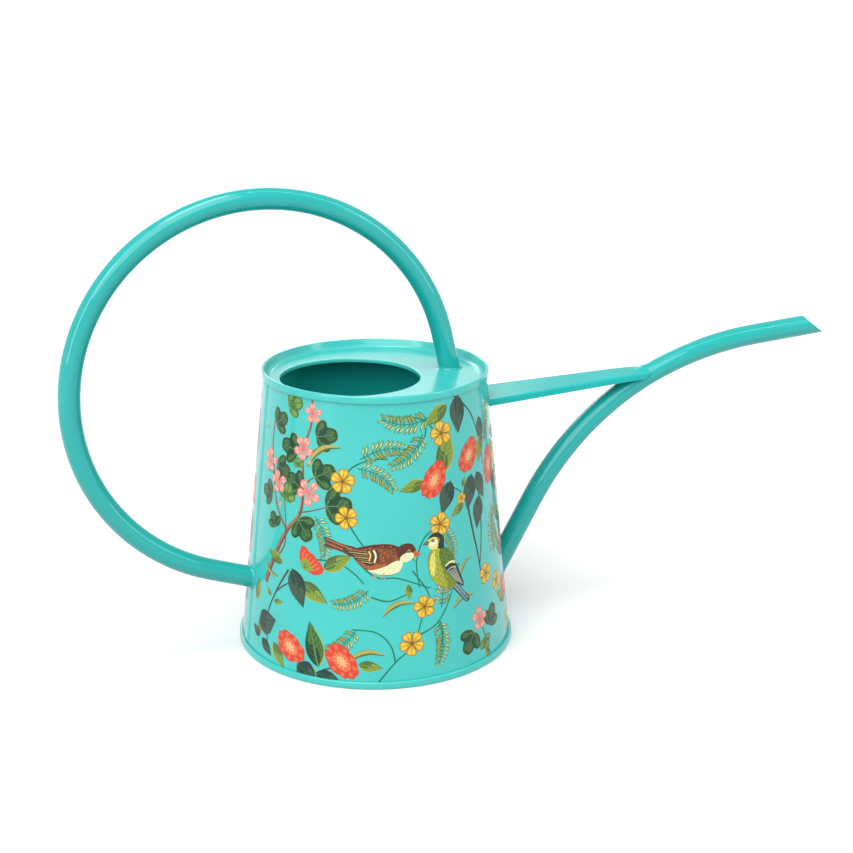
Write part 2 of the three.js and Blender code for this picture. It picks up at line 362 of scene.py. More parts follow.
def make_cover():
    """Recessed plate with a hemmed filler opening, a soft cove and the rolled rim."""
    top, under = COVER_Z, COVER_Z - COVER_SHEET
    cove_radius, cove_inside = 2.3, RIM_RADIUS - 4.5
    hem_radius, hem_width, hem_depth = 0.7, 1.2, 1.7
    band_foot = BODY_HEIGHT - SEAM_HEIGHT
    hem = [(FILLER_RADIUS, top - hem_depth)]
    hem += arc((FILLER_RADIUS + hem_radius, top - hem_radius), hem_radius, 180, 90, 5)
    rings = [ring(r, z, FILLER_X) for r, z in hem]
    start, end = ring(FILLER_RADIUS + hem_width, top, FILLER_X), ring(cove_inside - 0.4, top)
    rings += [mix_rings(start, end, i / 6) for i in range(7)]
    outline = arc((cove_inside, top + cove_radius), cove_radius, 270, 350, 9)
    outline += arc((RIM_RADIUS - 0.85, BODY_HEIGHT - 0.75), 0.75, 170, 10, 10)
    outline += arc((RIM_RADIUS - 0.4, band_foot + 0.4), 0.4, 0, -90, 4)
    outline += arc((wall_radius(band_foot) + 0.35, band_foot + 0.25), 0.25, -90, -180, 3)
    outline += [(wall_radius(band_foot) + 0.1, BODY_HEIGHT - 2.1), (RIM_RADIUS - 1.75, BODY_HEIGHT - 2.1)]
    outline += arc((cove_inside, top + cove_radius), cove_radius + COVER_SHEET, 350, 270, 6)
    rings += [ring(r, z) for r, z in outline]
    back = ring(FILLER_RADIUS + hem_width, under, FILLER_X)
    rings += [mix_rings(rings[-1], back, i / 4) for i in range(1, 5)]
    rings += [ring(FILLER_RADIUS + 0.6, top - depth, FILLER_X) for depth in (1.0, hem_depth)]
    make_piece("cover_plate_steel", *loft(rings, closed=True), enamel, "cover_plate", sharp=50)


def make_seal():
    """Brushed-on bead of sealant in the corner between wall and base plate."""
    z0 = BASE_RECESS + COVER_SHEET
    profile = ((2.4, 0.02), (1.2, 0.25), (0.4, 0.9), (0.05, 2.0), (0.0, 0.0))  # (inward, up)
    rings = []
    for inward, up in profile:
        wavy = []
        for a in fractions_of_turn(ROUND):
            lump = 1 + 0.3 * noise.noise(Vector((math.cos(a), math.sin(a), 0)) * 9)
            r = wall_radius(z0) - WALL_SHEET - inward * lump
            wavy.append((r * math.cos(a), r * math.sin(a), z0 + up * lump))
        rings.append(wavy)
    skin = loft(rings, closed=True)
    make_piece("base_seam_sealant", *skin, sealant, "base_seam_seal", "seam_sealant")


# ---- Tubes -------------------------------------------------------------------------


def walk(start, heading, moves):
    """Stations (x, z, heading) along a flat path of (length, turn) moves; turn is in radians."""
    x, z = start
    stations = [(x, z, heading)]
    for length, turn in moves:
        steps = max(1, round(length / TUBE_SPACING)) if turn else STRAIGHT_STEPS
        for _ in range(steps):
            half = turn / steps / 2
            chord = length / steps * (math.sin(half) / half if half else 1)
            x += chord * math.cos(heading + half)
            z += chord * math.sin(heading + half)
            heading += 2 * half
            stations.append((x, z, heading))
    return stations


def tube_ring(station, radius):
    """A circle square to the path. Angle 0 points to +Y and a quarter turn to the path's left."""
    x, z, heading = station
    points = []
    for a in fractions_of_turn(TUBE_SIDES):
        left = radius * math.sin(a)
        points.append((x - left * math.sin(heading), radius * math.cos(a), z + left * math.cos(heading)))
    return points


def cope(points, heading, sign, surface):
    """Moves each point along its tube's straight end until it meets a surface."""
    step = pointing(heading) * sign
    moved = []
    for p in points:
        p = Vector(p)
        t = bisect(lambda t: surface(p + step * t) < 0, -80, 80)
        moved.append(tuple(p + step * t))
    return moved


def above_cover(p):
    return p.z - COVER_Z


def outside_wall(p, offset=0.0):
    return math.hypot(p.x, p.y) - wall_radius(p.z) - offset - lock_seam(p)


def handle_stations():
    """From the cover, up and over the loop, and in to the wall."""
    x = LOOP_X + LOOP_RADIUS * math.cos(LOOP_FRONT)
    z = LOOP_Z + LOOP_RADIUS * math.sin(LOOP_FRONT)
    heading = LOOP_FRONT + math.pi / 2
    run = (z - COVER_Z) / math.cos(LOOP_FRONT) - 2
    start = (x - run * math.cos(heading), z - run * math.sin(heading))
    turn = LOOP_BACK - LOOP_FRONT
    return walk(start, heading, [(run, 0), (LOOP_RADIUS * turn, turn), (14, 0)])


def make_handle():
    stations = handle_stations()
    rings = [tube_ring(s, HANDLE_RADIUS) for s in stations]
    foot = cope(rings[0], stations[0][2], -1, lambda p: above_cover(p) + 0.1)
    end = cope(rings[-1], stations[-1][2], 1, lambda p: outside_wall(p, -0.2))
    points, faces = loft([foot] + rings + [end])
    faces += end_caps(points, TUBE_SIDES)
    make_piece("handle_loop_tube", points, faces, tube_enamel_shaded, "handle_tube")


def spout_stations():
    """From just inside the wall to beyond the mouth."""
    x, z = SPOUT_ROOT
    lead = 6.0
    start = (x - lead * math.cos(SPOUT_RISE), z - lead * math.sin(SPOUT_RISE))
    moves = [(lead + SPOUT_FIRST_RUN, 0)]
    moves += [(radius * turn, -turn) for radius, turn in SPOUT_BENDS]
    moves += [(SPOUT_LAST_RUN, 0)]
    return walk(start, SPOUT_RISE, moves)


def below_mouth(p):
    """Distance under the slanting mouth, which is cut back a little at both sides."""
    above = (p.x - LIP[0]) * math.sin(MOUTH_ANGLE) + (p.z - LIP[1]) * math.cos(MOUTH_ANGLE)
    return -above - MOUTH_SCOOP * (math.hypot(p.y, 1) - 1)


def make_spout():
    stations = spout_stations()
    stand_in = 2  # how far the root stands inside the wall

    def skin(inset):
        rings = [tube_ring(s, SPOUT_RADIUS - inset) for s in stations]
        rings = rings[STRAIGHT_STEPS:-STRAIGHT_STEPS + 1]
        root = cope(rings[0], SPOUT_RISE, -1, lambda p: outside_wall(p, -WALL_SHEET - stand_in))
        mouth = cope(rings.pop(), stations[-1][2], 1, below_mouth)
        return [root] + rings + [mouth]

    rings = skin(0) + skin(SPOUT_WALL)[::-1]
    make_piece("spout_steel_tube", *loft(rings, closed=True), tube_enamel_shaded, "spout_tube")


# ---- Brace -------------------------------------------------------------------------


def brace_top(x):
    """Height of the brace's top, which drops a little where it meets the spout."""
    run, drop = BRACE_BEND
    bend = clamp((x - BRACE_END_X + run) / run)
    return BRACE_START[1] + (x - BRACE_START[0]) * BRACE_SLOPE - drop * bend * bend


def brace_half_width(x):
    """The brace narrows evenly, and is pinched in to grip the spout."""
    t = (x - BRACE_START[0]) / (BRACE_END_X - BRACE_START[0])
    even = BRACE_WALL_HALF_WIDTH + (BRACE_TIP_HALF_WIDTH - BRACE_WALL_HALF_WIDTH) * t
    run, loss = BRACE_PINCH
    pinch = clamp((x - BRACE_END_X + run) / run)
    return even - loss * pinch * pinch


def spout_top(x, y, stations):
    """Height of the spout's upper surface over a point in plan, or None beside the tube."""
    sx, sz, heading = min(stations, key=lambda s: abs(s[0] - x))
    if abs(y) >= SPOUT_RADIUS:
        return None
    return sz + (x - sx) * math.tan(heading) + math.sqrt(SPOUT_RADIUS**2 - y**2) / math.cos(heading)


def over_spout(x, y, z, stations, stand_off=BRACE_STAND_OFF):
    """A height z, eased up where it would come less than a stand-off above the spout."""
    tube, soft = spout_top(x, y, stations), 0.9
    if tube is None:
        return z
    return z + soft * math.log1p(math.exp(min((tube + stand_off - z) / soft, 30)))


def brace_section(inset):
    """(share of half width, fixed inset, depth) of each line along the channel, near to far."""
    fold_steps, web_steps = 5, 24
    r = BRACE_EDGE_RADIUS - inset
    side = [(-1, inset, BRACE_DEPTH), (-1, inset, BRACE_DEPTH / 2 + 0.4)]
    for k in range(fold_steps + 1):
        a = math.radians(90 * k / fold_steps)
        side.append((-1, BRACE_EDGE_RADIUS - r * math.cos(a), BRACE_EDGE_RADIUS - r * math.sin(a)))
    web = [(-1 + 2 * k / web_steps, 0, inset) for k in range(2, web_steps - 1)]
    return side + web + [(1, edge, depth) for _, edge, depth in reversed(side)]


def make_brace():
    """A channel folded from sheet. Its end slants, and its web is dressed over the spout."""
    stations = spout_stations()
    steps, sunk = 70, 0.1

    def lines(inset):
        rows = []
        for i in range(steps + 1):
            row = []
            for share, edge, depth in brace_section(inset):
                end = BRACE_END_X - BRACE_END_SLANT * max(depth - BRACE_EDGE_RADIUS, 0)
                guess = BRACE_START[0] + (end - BRACE_START[0]) * i / steps
                inward = math.copysign(edge, share)
                y = share * brace_half_width(guess) - inward
                z = brace_top(guess) - depth
                start = math.sqrt(wall_radius(z) ** 2 - y**2) - sunk
                x = start + (end - start) * i / steps
                y = share * brace_half_width(x) - inward
                z = brace_top(x) - depth
                if depth < BRACE_EDGE_RADIUS + 0.1:
                    z = over_spout(x, y, z, stations, BRACE_STAND_OFF - inset)
                row.append((x, y, z))
            rows.append(row)
        return rows

    rings = [outer + inner[::-1] for outer, inner in zip(lines(0), lines(BRACE_SHEET))]
    points, faces = loft(rings)
    count = len(rings[0])
    half = count // 2
    last = len(points) - count
    for base in (0, last):
        top = base + count - 1
        faces += [(base + j, base + j + 1, top - 1 - j, top - j) for j in range(half - 1)]
    make_piece("spout_brace_channel", points, faces, brace_enamel_shaded, "spout_brace", sharp=50)


# ---- Welds -------------------------------------------------------------------------


def make_fillet(name, node, foot, along, centre_line, lift, size):
    """A painted weld: a concave skirt between a tube and the face that it stands on.
    foot holds the joint's points, along points up the tube, and lift puts a point on the face."""
    steps, sunk = 6, 0.3
    rings = [[] for _ in range(steps + 3)]
    for p in map(Vector, foot):
        outward = (p - centre_line(p)).normalized()
        lump = size * (1 + 0.22 * noise.noise(p * 0.45) + 0.12 * noise.noise(p * 1.3))
        on_face = lift(p + outward * lump)
        on_tube = p + along * lump - outward * 0.06
        corner = p + outward * 0.12 * lump + along * 0.12 * lump
        rings[0].append(tuple(p - outward * sunk))
        rings[1].append(tuple(on_face - along * 0.12))
        for k in range(steps + 1):
            t = k / steps
            bend = on_face * (1 - t) ** 2 + corner * 2 * t * (1 - t) + on_tube * t**2
            rings[2 + k].append(tuple(bend))
    make_piece(name, *loft(rings, closed=True), tube_enamel_shaded, node, sharp=80)


def make_tube_welds():
    def onto_cover(p):
        return Vector((p.x, p.y, COVER_Z))

    def onto_wall(p):
        scale = wall_radius(p.z) / math.hypot(p.x, p.y)
        scale += lock_seam(p) / wall_radius(p.z)
        return Vector((p.x * scale, p.y * scale, p.z))

    def weld(name, node, station, radius, sign, surface, lift, size):
        """A fillet where the tube at a station, followed forwards (1) or back (-1), meets a surface."""
        x, z, heading = station
        middle, direction = Vector((x, 0, z)), pointing(heading) * -sign
        foot = cope(tube_ring(station, radius), heading, sign, surface)

        def centre_line(p):
            return middle + direction * (p - middle).dot(direction)

        make_fillet(name, node, foot, direction, centre_line, lift, size)

    loop, root = handle_stations(), spout_stations()[STRAIGHT_STEPS]
    cover, wall = (above_cover, onto_cover), (outside_wall, onto_wall)
    weld("handle_weld_at_cover", "handle_upper_weld", loop[0], HANDLE_RADIUS, -1, *cover, 1.2)
    weld("handle_weld_at_wall", "handle_lower_weld", loop[-1], HANDLE_RADIUS, 1, *wall, 1.3)
    weld("spout_weld_at_wall", "spout_weld", root, SPOUT_RADIUS, -1, *wall, 1.1)


def make_bead(name, node, path, size, seed, drop):
    """A run of weld along a path of points: a lumpy rounded bead with a drop at either end."""
    rings = []
    sides, last = 14, len(path) - 1
    for i, p in enumerate(path):
        p = Vector(p)
        ahead = (Vector(path[min(i + 1, last)]) - Vector(path[max(i - 1, 0)])).normalized()
        side = ahead.cross(Vector((1, 0, 0))).normalized()
        other = ahead.cross(side)
        ends = min(1, math.sqrt(1.02 - (2 * i / last - 1) ** 6))
        swell = 1 + drop * (math.exp(-((i / 4) ** 2)) + math.exp(-(((last - i) / 4) ** 2)))
        radius = size * (1 + 0.3 * noise.noise(p * 0.8 + Vector((seed, 0, 0)))) * ends * swell
        turns = fractions_of_turn(sides)
        rings.append([tuple(p + side * math.cos(a) * radius + other * math.sin(a) * radius) for a in turns])
    points, faces = loft(rings)
    make_piece(name, points, faces + end_caps(points, sides), tube_enamel_shaded, node, sharp=80)


def make_brace_welds():
    stations = spout_stations()
    steps = 40

    def across(half, place):
        return [place(k, -half + 2 * half * k / steps) for k in range(steps + 1)]

    def at_wall(k, y):
        z = brace_top(BRACE_START[0]) + (0.1 if 2 < k < steps - 2 else -1.3)
        return math.sqrt(wall_radius(z) ** 2 - y**2) + 0.2, y, z

    def at_spout(k, y):
        z = over_spout(BRACE_END_X, y, brace_top(BRACE_END_X), stations) - 0.3
        return BRACE_END_X - 0.05, y, z

    path = across(BRACE_WALL_HALF_WIDTH + 0.2, at_wall)
    make_bead("brace_weld_at_wall", "brace_body_weld", path, 0.75, 3.0, 0.0)
    path = across(brace_half_width(BRACE_END_X) - 0.35, at_spout)
    make_bead("brace_weld_at_spout", "brace_spout_weld", path, 0.4, 8.0, 0.6)


# ---- Print -------------------------------------------------------------------------
# The wall unrolls on to a chart: x is the way round at CHART_RADIUS and y is the height.
# Motifs are flat shapes on that chart, in painter's order. Together they are cut into one
# layer of ink, which is then rolled back on to the wall.

CHART_RADIUS = 56.0
INK_LIFT = 0.045
PANEL_START = 184.0  # degrees round the body, just past the lock seam
PANEL_STEP = 176.0
PANELS = 2
PRINT_SEED = 5

INKS = {
    "leaf_dark": (12, 58, 34),
    "leaf_mid": (38, 82, 42),
    "leaf_soft": (60, 100, 44),
    "leaf_light": (104, 138, 66),
    "vein": (92, 128, 78),
    "slate": (24, 52, 44),
    "slate_mid": (54, 76, 62),
    "olive": (118, 138, 48),
    "olive_light": (160, 170, 82),
    "olive_dark": (66, 92, 40),
    "bark": (104, 58, 42),
    "bark_light": (158, 104, 78),
    "stem": (22, 104, 70),
    "stem_dark": (58, 54, 44),
    "gold": (156, 148, 76),
    "gold_light": (196, 190, 118),
    "gold_dark": (62, 106, 58),
    "pink": (208, 126, 112),
    "pink_light": (216, 166, 150),
    "pink_deep": (214, 74, 84),
    "red": (190, 64, 38),
    "red_mid": (174, 44, 30),
    "red_light": (202, 98, 66),
    "red_deep": (176, 28, 26),
    "peach": (208, 162, 114),
    "yellow": (194, 150, 34),
    "yellow_light": (206, 178, 62),
    "yellow_deep": (150, 86, 16),
    "plume_green": (70, 104, 36),
    "plume_lime": (142, 150, 44),
    "plume_moss": (104, 122, 38),
    "plume_cream": (206, 196, 96),
    "plume_white": (204, 206, 164),
    "plume_night": (28, 40, 42),
    "plume_blue": (84, 122, 136),
    "plume_rust": (114, 60, 32),
    "plume_umber": (74, 36, 24),
    "plume_tan": (184, 128, 84),
    "plume_amber": (152, 84, 44),
    "plume_mist": (150, 172, 172),
    "beak": (196, 84, 44),
}


def linear(channel):
    c = channel / 255
    return c / 12.92 if c <= 0.04045 else ((c + 0.055) / 1.055) ** 2.4


def ink_material(name, colour):
    """Flat printed ink, less glossy than the enamel under it."""
    n = new_material("ink_" + name)
    n.set(Base_Color=[linear(c) for c in colour] + [1.0])
    n.set(Coat_Weight=0.12, Coat_Roughness=0.08, Specular_IOR_Level=0.25)
    n.drive("Roughness", n.between(n.noise(260.0), 0.22, 0.36))
    return n.owner


ink_materials = {name: ink_material(name, colour) for name, colour in INKS.items()}


def smooth(points, closed=True, steps=4):
    """A rounded curve through points."""
    count = len(points)
    spans = count if closed else count - 1
    curve = []
    for i in range(spans):
        if closed:
            a, b, c, d = (points[(i + k) % count] for k in (-1, 0, 1, 2))
        else:
            a, b, c, d = (points[min(max(i + k, 0), count - 1)] for k in (-1, 0, 1, 2))
        for k in range(steps):
            t = k / steps
            weights = (
                -0.5 * t + t * t - 0.5 * t**3,
                1 - 2.5 * t * t + 1.5 * t**3,
                0.5 * t + 2 * t * t - 1.5 * t**3,
                -0.5 * t * t + 0.5 * t**3,
            )
            curve.append(tuple(
                sum(w * p[axis] for w, p in zip(weights, (a, b, c, d))) for axis in (0, 1)
            ))
    if not closed:
        curve.append(points[-1])
    return curve


def mirrored(half):
    """A closed outline from its upper half, which starts and ends on the x axis."""
    return half + [(x, -y) for x, y in reversed(half[1:-1])]


def flipped(points, side):
    """Points on one side of a motif's rib (1), or mirrored to the other (-1)."""
    return [(x, y * side) for x, y in points]


def spin(points, turn):
    """Points turned about the origin by degrees, as petals are."""
    c, s = math.cos(math.radians(turn)), math.sin(math.radians(turn))
    return [(x * c - y * s, x * s + y * c) for x, y in points]


def ellipse(x, y, rx, ry, count):
    return [(x + rx * math.cos(a), y + ry * math.sin(a)) for a in fractions_of_turn(count)]


def shrunk(points, along, across=1.0):
    """Points drawn in towards x = 0.5, the middle of a petal or leaf, and towards its rib."""
    return [(0.5 + (x - 0.5) * along, y * across) for x, y in points]


class Pen:
    """A spot on the wall where a motif is drawn, turned by degrees and scaled."""

    shapes = []

    def __init__(self, angle, height, turn=0.0, size=1.0, squash=1.0):
        self.angle, self.height, self.size, self.squash = angle, height, size, squash
        self.cos, self.sin = math.cos(math.radians(turn)), math.sin(math.radians(turn))

    def chart(self, x, y):
        x, y = x * self.size, y * self.size * self.squash
        z = self.height + x * self.sin + y * self.cos
        across = (x * self.cos - y * self.sin) * CHART_RADIUS / wall_radius(z)
        return math.radians(self.angle) * CHART_RADIUS + across, z

    def fill(self, ink, points):
        outline = [self.chart(x, y) for x, y in points]
        pairs = zip(outline, outline[1:] + outline[:1])
        if sum(a[0] * b[1] - b[0] * a[1] for a, b in pairs) < 0:
            outline.reverse()
        Pen.shapes.append((ink, outline))

    def blob(self, ink, points, steps=4):
        self.fill(ink, smooth(points, True, steps))

    def stroke(self, ink, points, width, end=None, steps=3, belly=0.0):
        """A ribbon along a curve, from width to end, with a belly half way along."""
        end = width if end is None else end
        path = smooth(points, False, steps) if len(points) > 2 else list(points)
        left, right = [], []
        for i, (x, y) in enumerate(path):
            ahead, behind = path[min(i + 1, len(path) - 1)], path[max(i - 1, 0)]
            dx, dy = ahead[0] - behind[0], ahead[1] - behind[1]
            t = i / (len(path) - 1)
            half = (width + (end - width) * t + belly * math.sin(math.pi * t)) / 2
            half /= math.hypot(dx, dy) or 1
            left.append((x - dy * half, y + dx * half))
            right.append((x + dy * half, y - dx * half))
        self.fill(ink, left + right[::-1])

    def turned(self, x, y, turn, size=1.0):
        """A pen at a point of this pen's motif."""
        spot = Pen(0, 0, 0)
        chart_x, spot.height = self.chart(x, y)
        spot.angle = math.degrees(chart_x / CHART_RADIUS)
        whole = math.atan2(self.sin, self.cos) + math.radians(turn)
        spot.cos, spot.sin, spot.size, spot.squash = math.cos(whole), math.sin(whole), self.size * size, 1.0
        return spot


def lobed_leaf(pen, fresh=False):
    """A leaf of three round lobes, about 1 long and wider, its stalk at the origin."""
    dull, bright = ("leaf_dark", "leaf_mid", "leaf_soft"), ("leaf_soft", "leaf_light", "olive")
    deep, middle, soft = bright if fresh else dull
    half = [(0.0, 0.0), (0.0, 0.26), (0.12, 0.52), (0.36, 0.68), (0.56, 0.6), (0.6, 0.36),
            (0.76, 0.32), (0.95, 0.2), (1.0, 0.0)]
    patches = (
        (middle, [(0.16, 0.28), (0.2, 0.5), (0.38, 0.6), (0.48, 0.5), (0.34, 0.26)]),
        (soft, [(0.28, 0.42), (0.36, 0.56), (0.47, 0.5), (0.4, 0.38)]),
        (middle, [(0.5, 0.06), (0.56, 0.24), (0.76, 0.24), (0.9, 0.12), (0.8, 0.04)]),
        (soft, [(0.68, 0.08), (0.74, 0.18), (0.86, 0.12)]),
        (middle, [(0.05, 0.08), (0.06, 0.2), (0.2, 0.16)]),
    )
    veins = (
        ([(0.04, 0), (0.18, 0.24), (0.32, 0.58)], 0.026, 0.008),
        ([(0.2, 0.28), (0.34, 0.38), (0.46, 0.42)], 0.016, 0.006),
        ([(0.14, 0.18), (0.1, 0.34), (0.12, 0.44)], 0.016, 0.006),
        ([(0.4, 0), (0.56, 0.1), (0.7, 0.24)], 0.018, 0.006),
        ([(0.6, 0), (0.76, 0.07), (0.84, 0.14)], 0.014, 0.006),
    )
    pen.blob("leaf_light", mirrored(half))
    pen.blob(deep, shrunk(mirrored(half), 0.96, 0.965))
    for side in (1, -1):
        for tone, points in patches:
            pen.blob(tone, flipped(points, side), 3)
        for points, width, end in veins:
            pen.stroke("vein", flipped(points, side), width, end)
    pen.stroke("vein", [(-0.02, 0), (0.5, 0.01), (0.95, 0)], 0.034, 0.012)


def pointed_leaf(pen, tones=("olive_dark", "olive"), width=1.0, rib="vein"):
    """An oval leaf with a drawn-out tip, about 1 long, its halves in two tones."""
    half = [(0.0, 0.0), (0.1, 0.12), (0.3, 0.22), (0.55, 0.21), (0.8, 0.1), (1.0, 0.0)]
    rims = [smooth([(x, y * width * side) for x, y in half], False) for side in (1, -1)]
    for tone, rim in zip(tones, rims):
        pen.fill(tone, rim)
    for tone, rim, side in zip(reversed(tones), rims, (1, -1)):
        for i in range(6):
            x = 0.1 + 0.13 * i
            reach = 0.17 * width * math.sin(math.pi * (0.22 + 0.12 * i)) * side
            pen.stroke(tone, [(x, 0), (x + 0.05, reach * 0.55), (x + 0.14, reach)], 0.02, 0.006)
    pen.blob(tones[1], [(0.5, 0.05 * width), (0.56, 0.14 * width), (0.8, 0.07 * width), (0.9, 0.02)], 3)
    pen.blob(tones[0], [(0.06, -0.02), (0.16, -0.09 * width), (0.36, -0.08 * width), (0.4, -0.02)], 3)
    pen.stroke(rib, [(-0.02, 0), (0.5, 0.012), (0.97, 0)], 0.03, 0.01)
    if rib == "vein":
        pen.stroke("olive_light", rims[1][2:-2:3], 0.022, 0.01)


def dark_leaf(pen, width=1.0):
    pointed_leaf(pen, ("slate", "slate_mid"), width, "leaf_mid")


def sickle_leaf(pen):
    """A narrow leaf curling over, about 1 long."""
    path = [(0, 0), (0.3, 0.16), (0.65, 0.18), (1.0, 0.0)]
    pen.stroke("olive_dark", path, 0.02, 0.01, 4, 0.15)
    pen.stroke("gold", [(x, y + 0.02) for x, y in path], 0.015, 0.01, 4, 0.09)


def frond(pen):
    """A feathery frond about 1 long with slender leaflets in close pairs."""
    pairs, bend = 12, 0.25
    rib = smooth([(0, 0), (0.35, bend * 0.5), (0.7, bend * 0.55), (1.0, bend * 0.2)], False, 10)
    pen.stroke("stem", rib[::5] + [rib[-1]], 0.024, 0.012)
    leaflet = [(0.02, 0), (0.36, 0.1), (0.76, 0.115), (1.0, 0), (0.76, -0.115), (0.36, -0.1)]
    glint = [(0.2, 0.03), (0.6, 0.085), (0.92, 0.01), (0.56, -0.05)]
    for i in range(pairs):
        t = 0.12 + 0.86 * i / (pairs - 1)
        k = min(int(t * (len(rib) - 1)), len(rib) - 2)
        x, y = rib[k]
        lean = math.degrees(math.atan2(rib[k + 1][1] - y, rib[k + 1][0] - x))
        length = 0.22 * math.sin(math.pi * (0.3 + 0.54 * t)) + 0.03
        for side in (1, -1):
            spot = pen.turned(x, y, lean + side * (64 - 24 * t), length)
            spot.blob("gold_dark", leaflet, 2)
            spot.fill("gold_light" if side > 0 else "gold", glint)


def yellow_flower(pen):
    """Five broad petals, about 1 in radius, with dark clefts between them."""
    petal = [(0.1, 0), (0.4, 0.26), (0.74, 0.43), (0.94, 0.3), (0.99, 0.06), (0.93, -0.28),
             (0.72, -0.43), (0.4, -0.26)]
    lights = (
        [(0.42, 0.12), (0.64, 0.29), (0.86, 0.22), (0.84, 0.08), (0.6, 0.06)],
        [(0.44, -0.1), (0.66, -0.28), (0.84, -0.2), (0.8, -0.08), (0.62, -0.05)],
    )
    turns = [72 * k for k in range(5)]
    for turn in turns:
        pen.blob("yellow_deep", spin(petal, turn), 3)
    for turn in turns:
        pen.blob("yellow", spin(shrunk(petal, 0.9, 0.86), turn), 3)
        for light in lights:
            pen.blob("yellow_light", spin(light, turn), 3)
        pen.stroke("yellow_deep", spin([(0.06, 0), (0.36, 0.02), (0.62, 0)], turn), 0.06, 0.02)
        pen.stroke("olive_dark", spin([(0.0, 0), (0.34, 0.0), (0.62, 0.0)], turn + 36), 0.07, 0.03)
    pen.fill("olive_dark", ellipse(0, 0, 0.09, 0.09, 7))


def pink_blossom(pen):
    """Five spreading petals, about 1 in radius, each coming to a blunt point."""
    petal = [(0.04, 0.03), (0.34, 0.16), (0.64, 0.34), (0.88, 0.26), (1.0, 0.03), (0.9, -0.22),
             (0.66, -0.34), (0.34, -0.16), (0.04, -0.03)]
    lights = (
        [(0.52, 0.1), (0.68, 0.25), (0.86, 0.17), (0.76, 0.05)],
        [(0.52, -0.1), (0.7, -0.24), (0.84, -0.14), (0.74, -0.04)],
    )
    for k in range(5):
        turn = 72 * k + (4 if k % 2 else -4)
        pen.blob("pink_deep", spin(petal, turn), 3)
        pen.blob("pink", spin(shrunk(petal, 0.93, 0.88), turn), 3)
        for light in lights:
            pen.blob("pink_light", spin(light, turn), 3)
        pen.stroke("pink_deep", spin([(0.02, 0), (0.3, 0.02), (0.6, 0.0)], turn), 0.08, 0.015)
    pen.fill("pink_deep", ellipse(0, 0, 0.1, 0.1, 7))
    pen.fill("pink_light", ellipse(0.01, 0.01, 0.045, 0.045, 6))


def pink_bud(pen):
    """A closed bud, about 1 long, in a green cup."""
    pen.blob("pink", [(0.25, 0), (0.5, 0.22), (0.85, 0.16), (1.05, 0), (0.85, -0.16), (0.5, -0.22)], 3)
    pen.stroke("pink_light", [(0.4, 0.06), (0.9, 0.05)], 0.08, 0.03)
    pen.blob("leaf_light", [(0, 0), (0.3, 0.2), (0.55, 0.16), (0.4, 0), (0.55, -0.16), (0.3, -0.2)], 3)


def red_flower(pen, dice):
    """A full ruffled flower, about 1 in radius, with a long pale heart."""
    lobes, phase = 9, dice.uniform(0, 40)

    def ruffle(reach, depth, count=54):
        outline = []
        for i in range(count):
            turn = 360 * i / count
            wander = turn + phase + 9 * math.sin(math.radians(2 * turn + phase))
            beat = abs(math.sin(math.radians(lobes * wander / 2)))
            swell = 1 + 0.04 * math.sin(math.radians(3 * turn + 2 * phase))
            radius = reach * swell * (1 - depth + depth * beat**0.6) + dice.uniform(-0.012, 0.012)
            outline.append((radius * math.cos(math.radians(turn)), radius * math.sin(math.radians(turn))))
        return outline

    pen.fill("red_deep", ruffle(1.0, 0.11))
    pen.fill("red", ruffle(0.97, 0.11))
    for k in range(lobes):
        turn = 360 / lobes * k - phase
        pen.stroke("red_mid", spin([(0.42, 0.0), (0.66, 0.03), (0.88, 0.0)], turn), 0.05, 0.02)
        middle = turn + 180 / lobes
        pen.blob("red_light", spin([
            (0.6, 0.02), (0.7, 0.13), (0.86, 0.1), (0.9, -0.04), (0.74, -0.08),
        ], middle), 3)
        pen.stroke("red_mid", spin([(0.5, -0.06), (0.7, -0.12), (0.9, -0.1)], middle), 0.035, 0.012)
        pen.stroke("red", spin([(0.56, 0.05), (0.84, 0.04)], middle), 0.03, 0.01)
    lobes, phase = 7, phase + 20
    pen.fill("red_mid", ruffle(0.6, 0.12, 42))
    pen.fill("red_light", ruffle(0.57, 0.12, 42))
    for k in range(13):
        turn = 360 / 13 * k + dice.uniform(-6, 6)
        pen.stroke("red", spin([(0.3, 0.0), (0.42, 0.02), (0.54, 0.0)], turn), 0.04, 0.015)
        tip = (0.42 + dice.uniform(-0.05, 0.04), 0.02)
        pen.stroke("peach", spin([(0.2, 0), tip], turn + 14), 0.07, 0.03)
    pen.blob("peach", [
        (0.3, 0.02), (0.14, 0.17), (-0.12, 0.18), (-0.3, 0.03), (-0.16, -0.17), (0.12, -0.18),
    ], 3)
    for k in range(6):
        x = -0.2 + 0.08 * k
        pen.stroke("red_light", [(x, 0.1), (x + 0.03, 0.0), (x - 0.01, -0.1)], 0.025, 0.012)
    pen.stroke("yellow_light", [(-0.16, 0.02), (0, 0.04), (0.18, 0.01)], 0.05, 0.03)


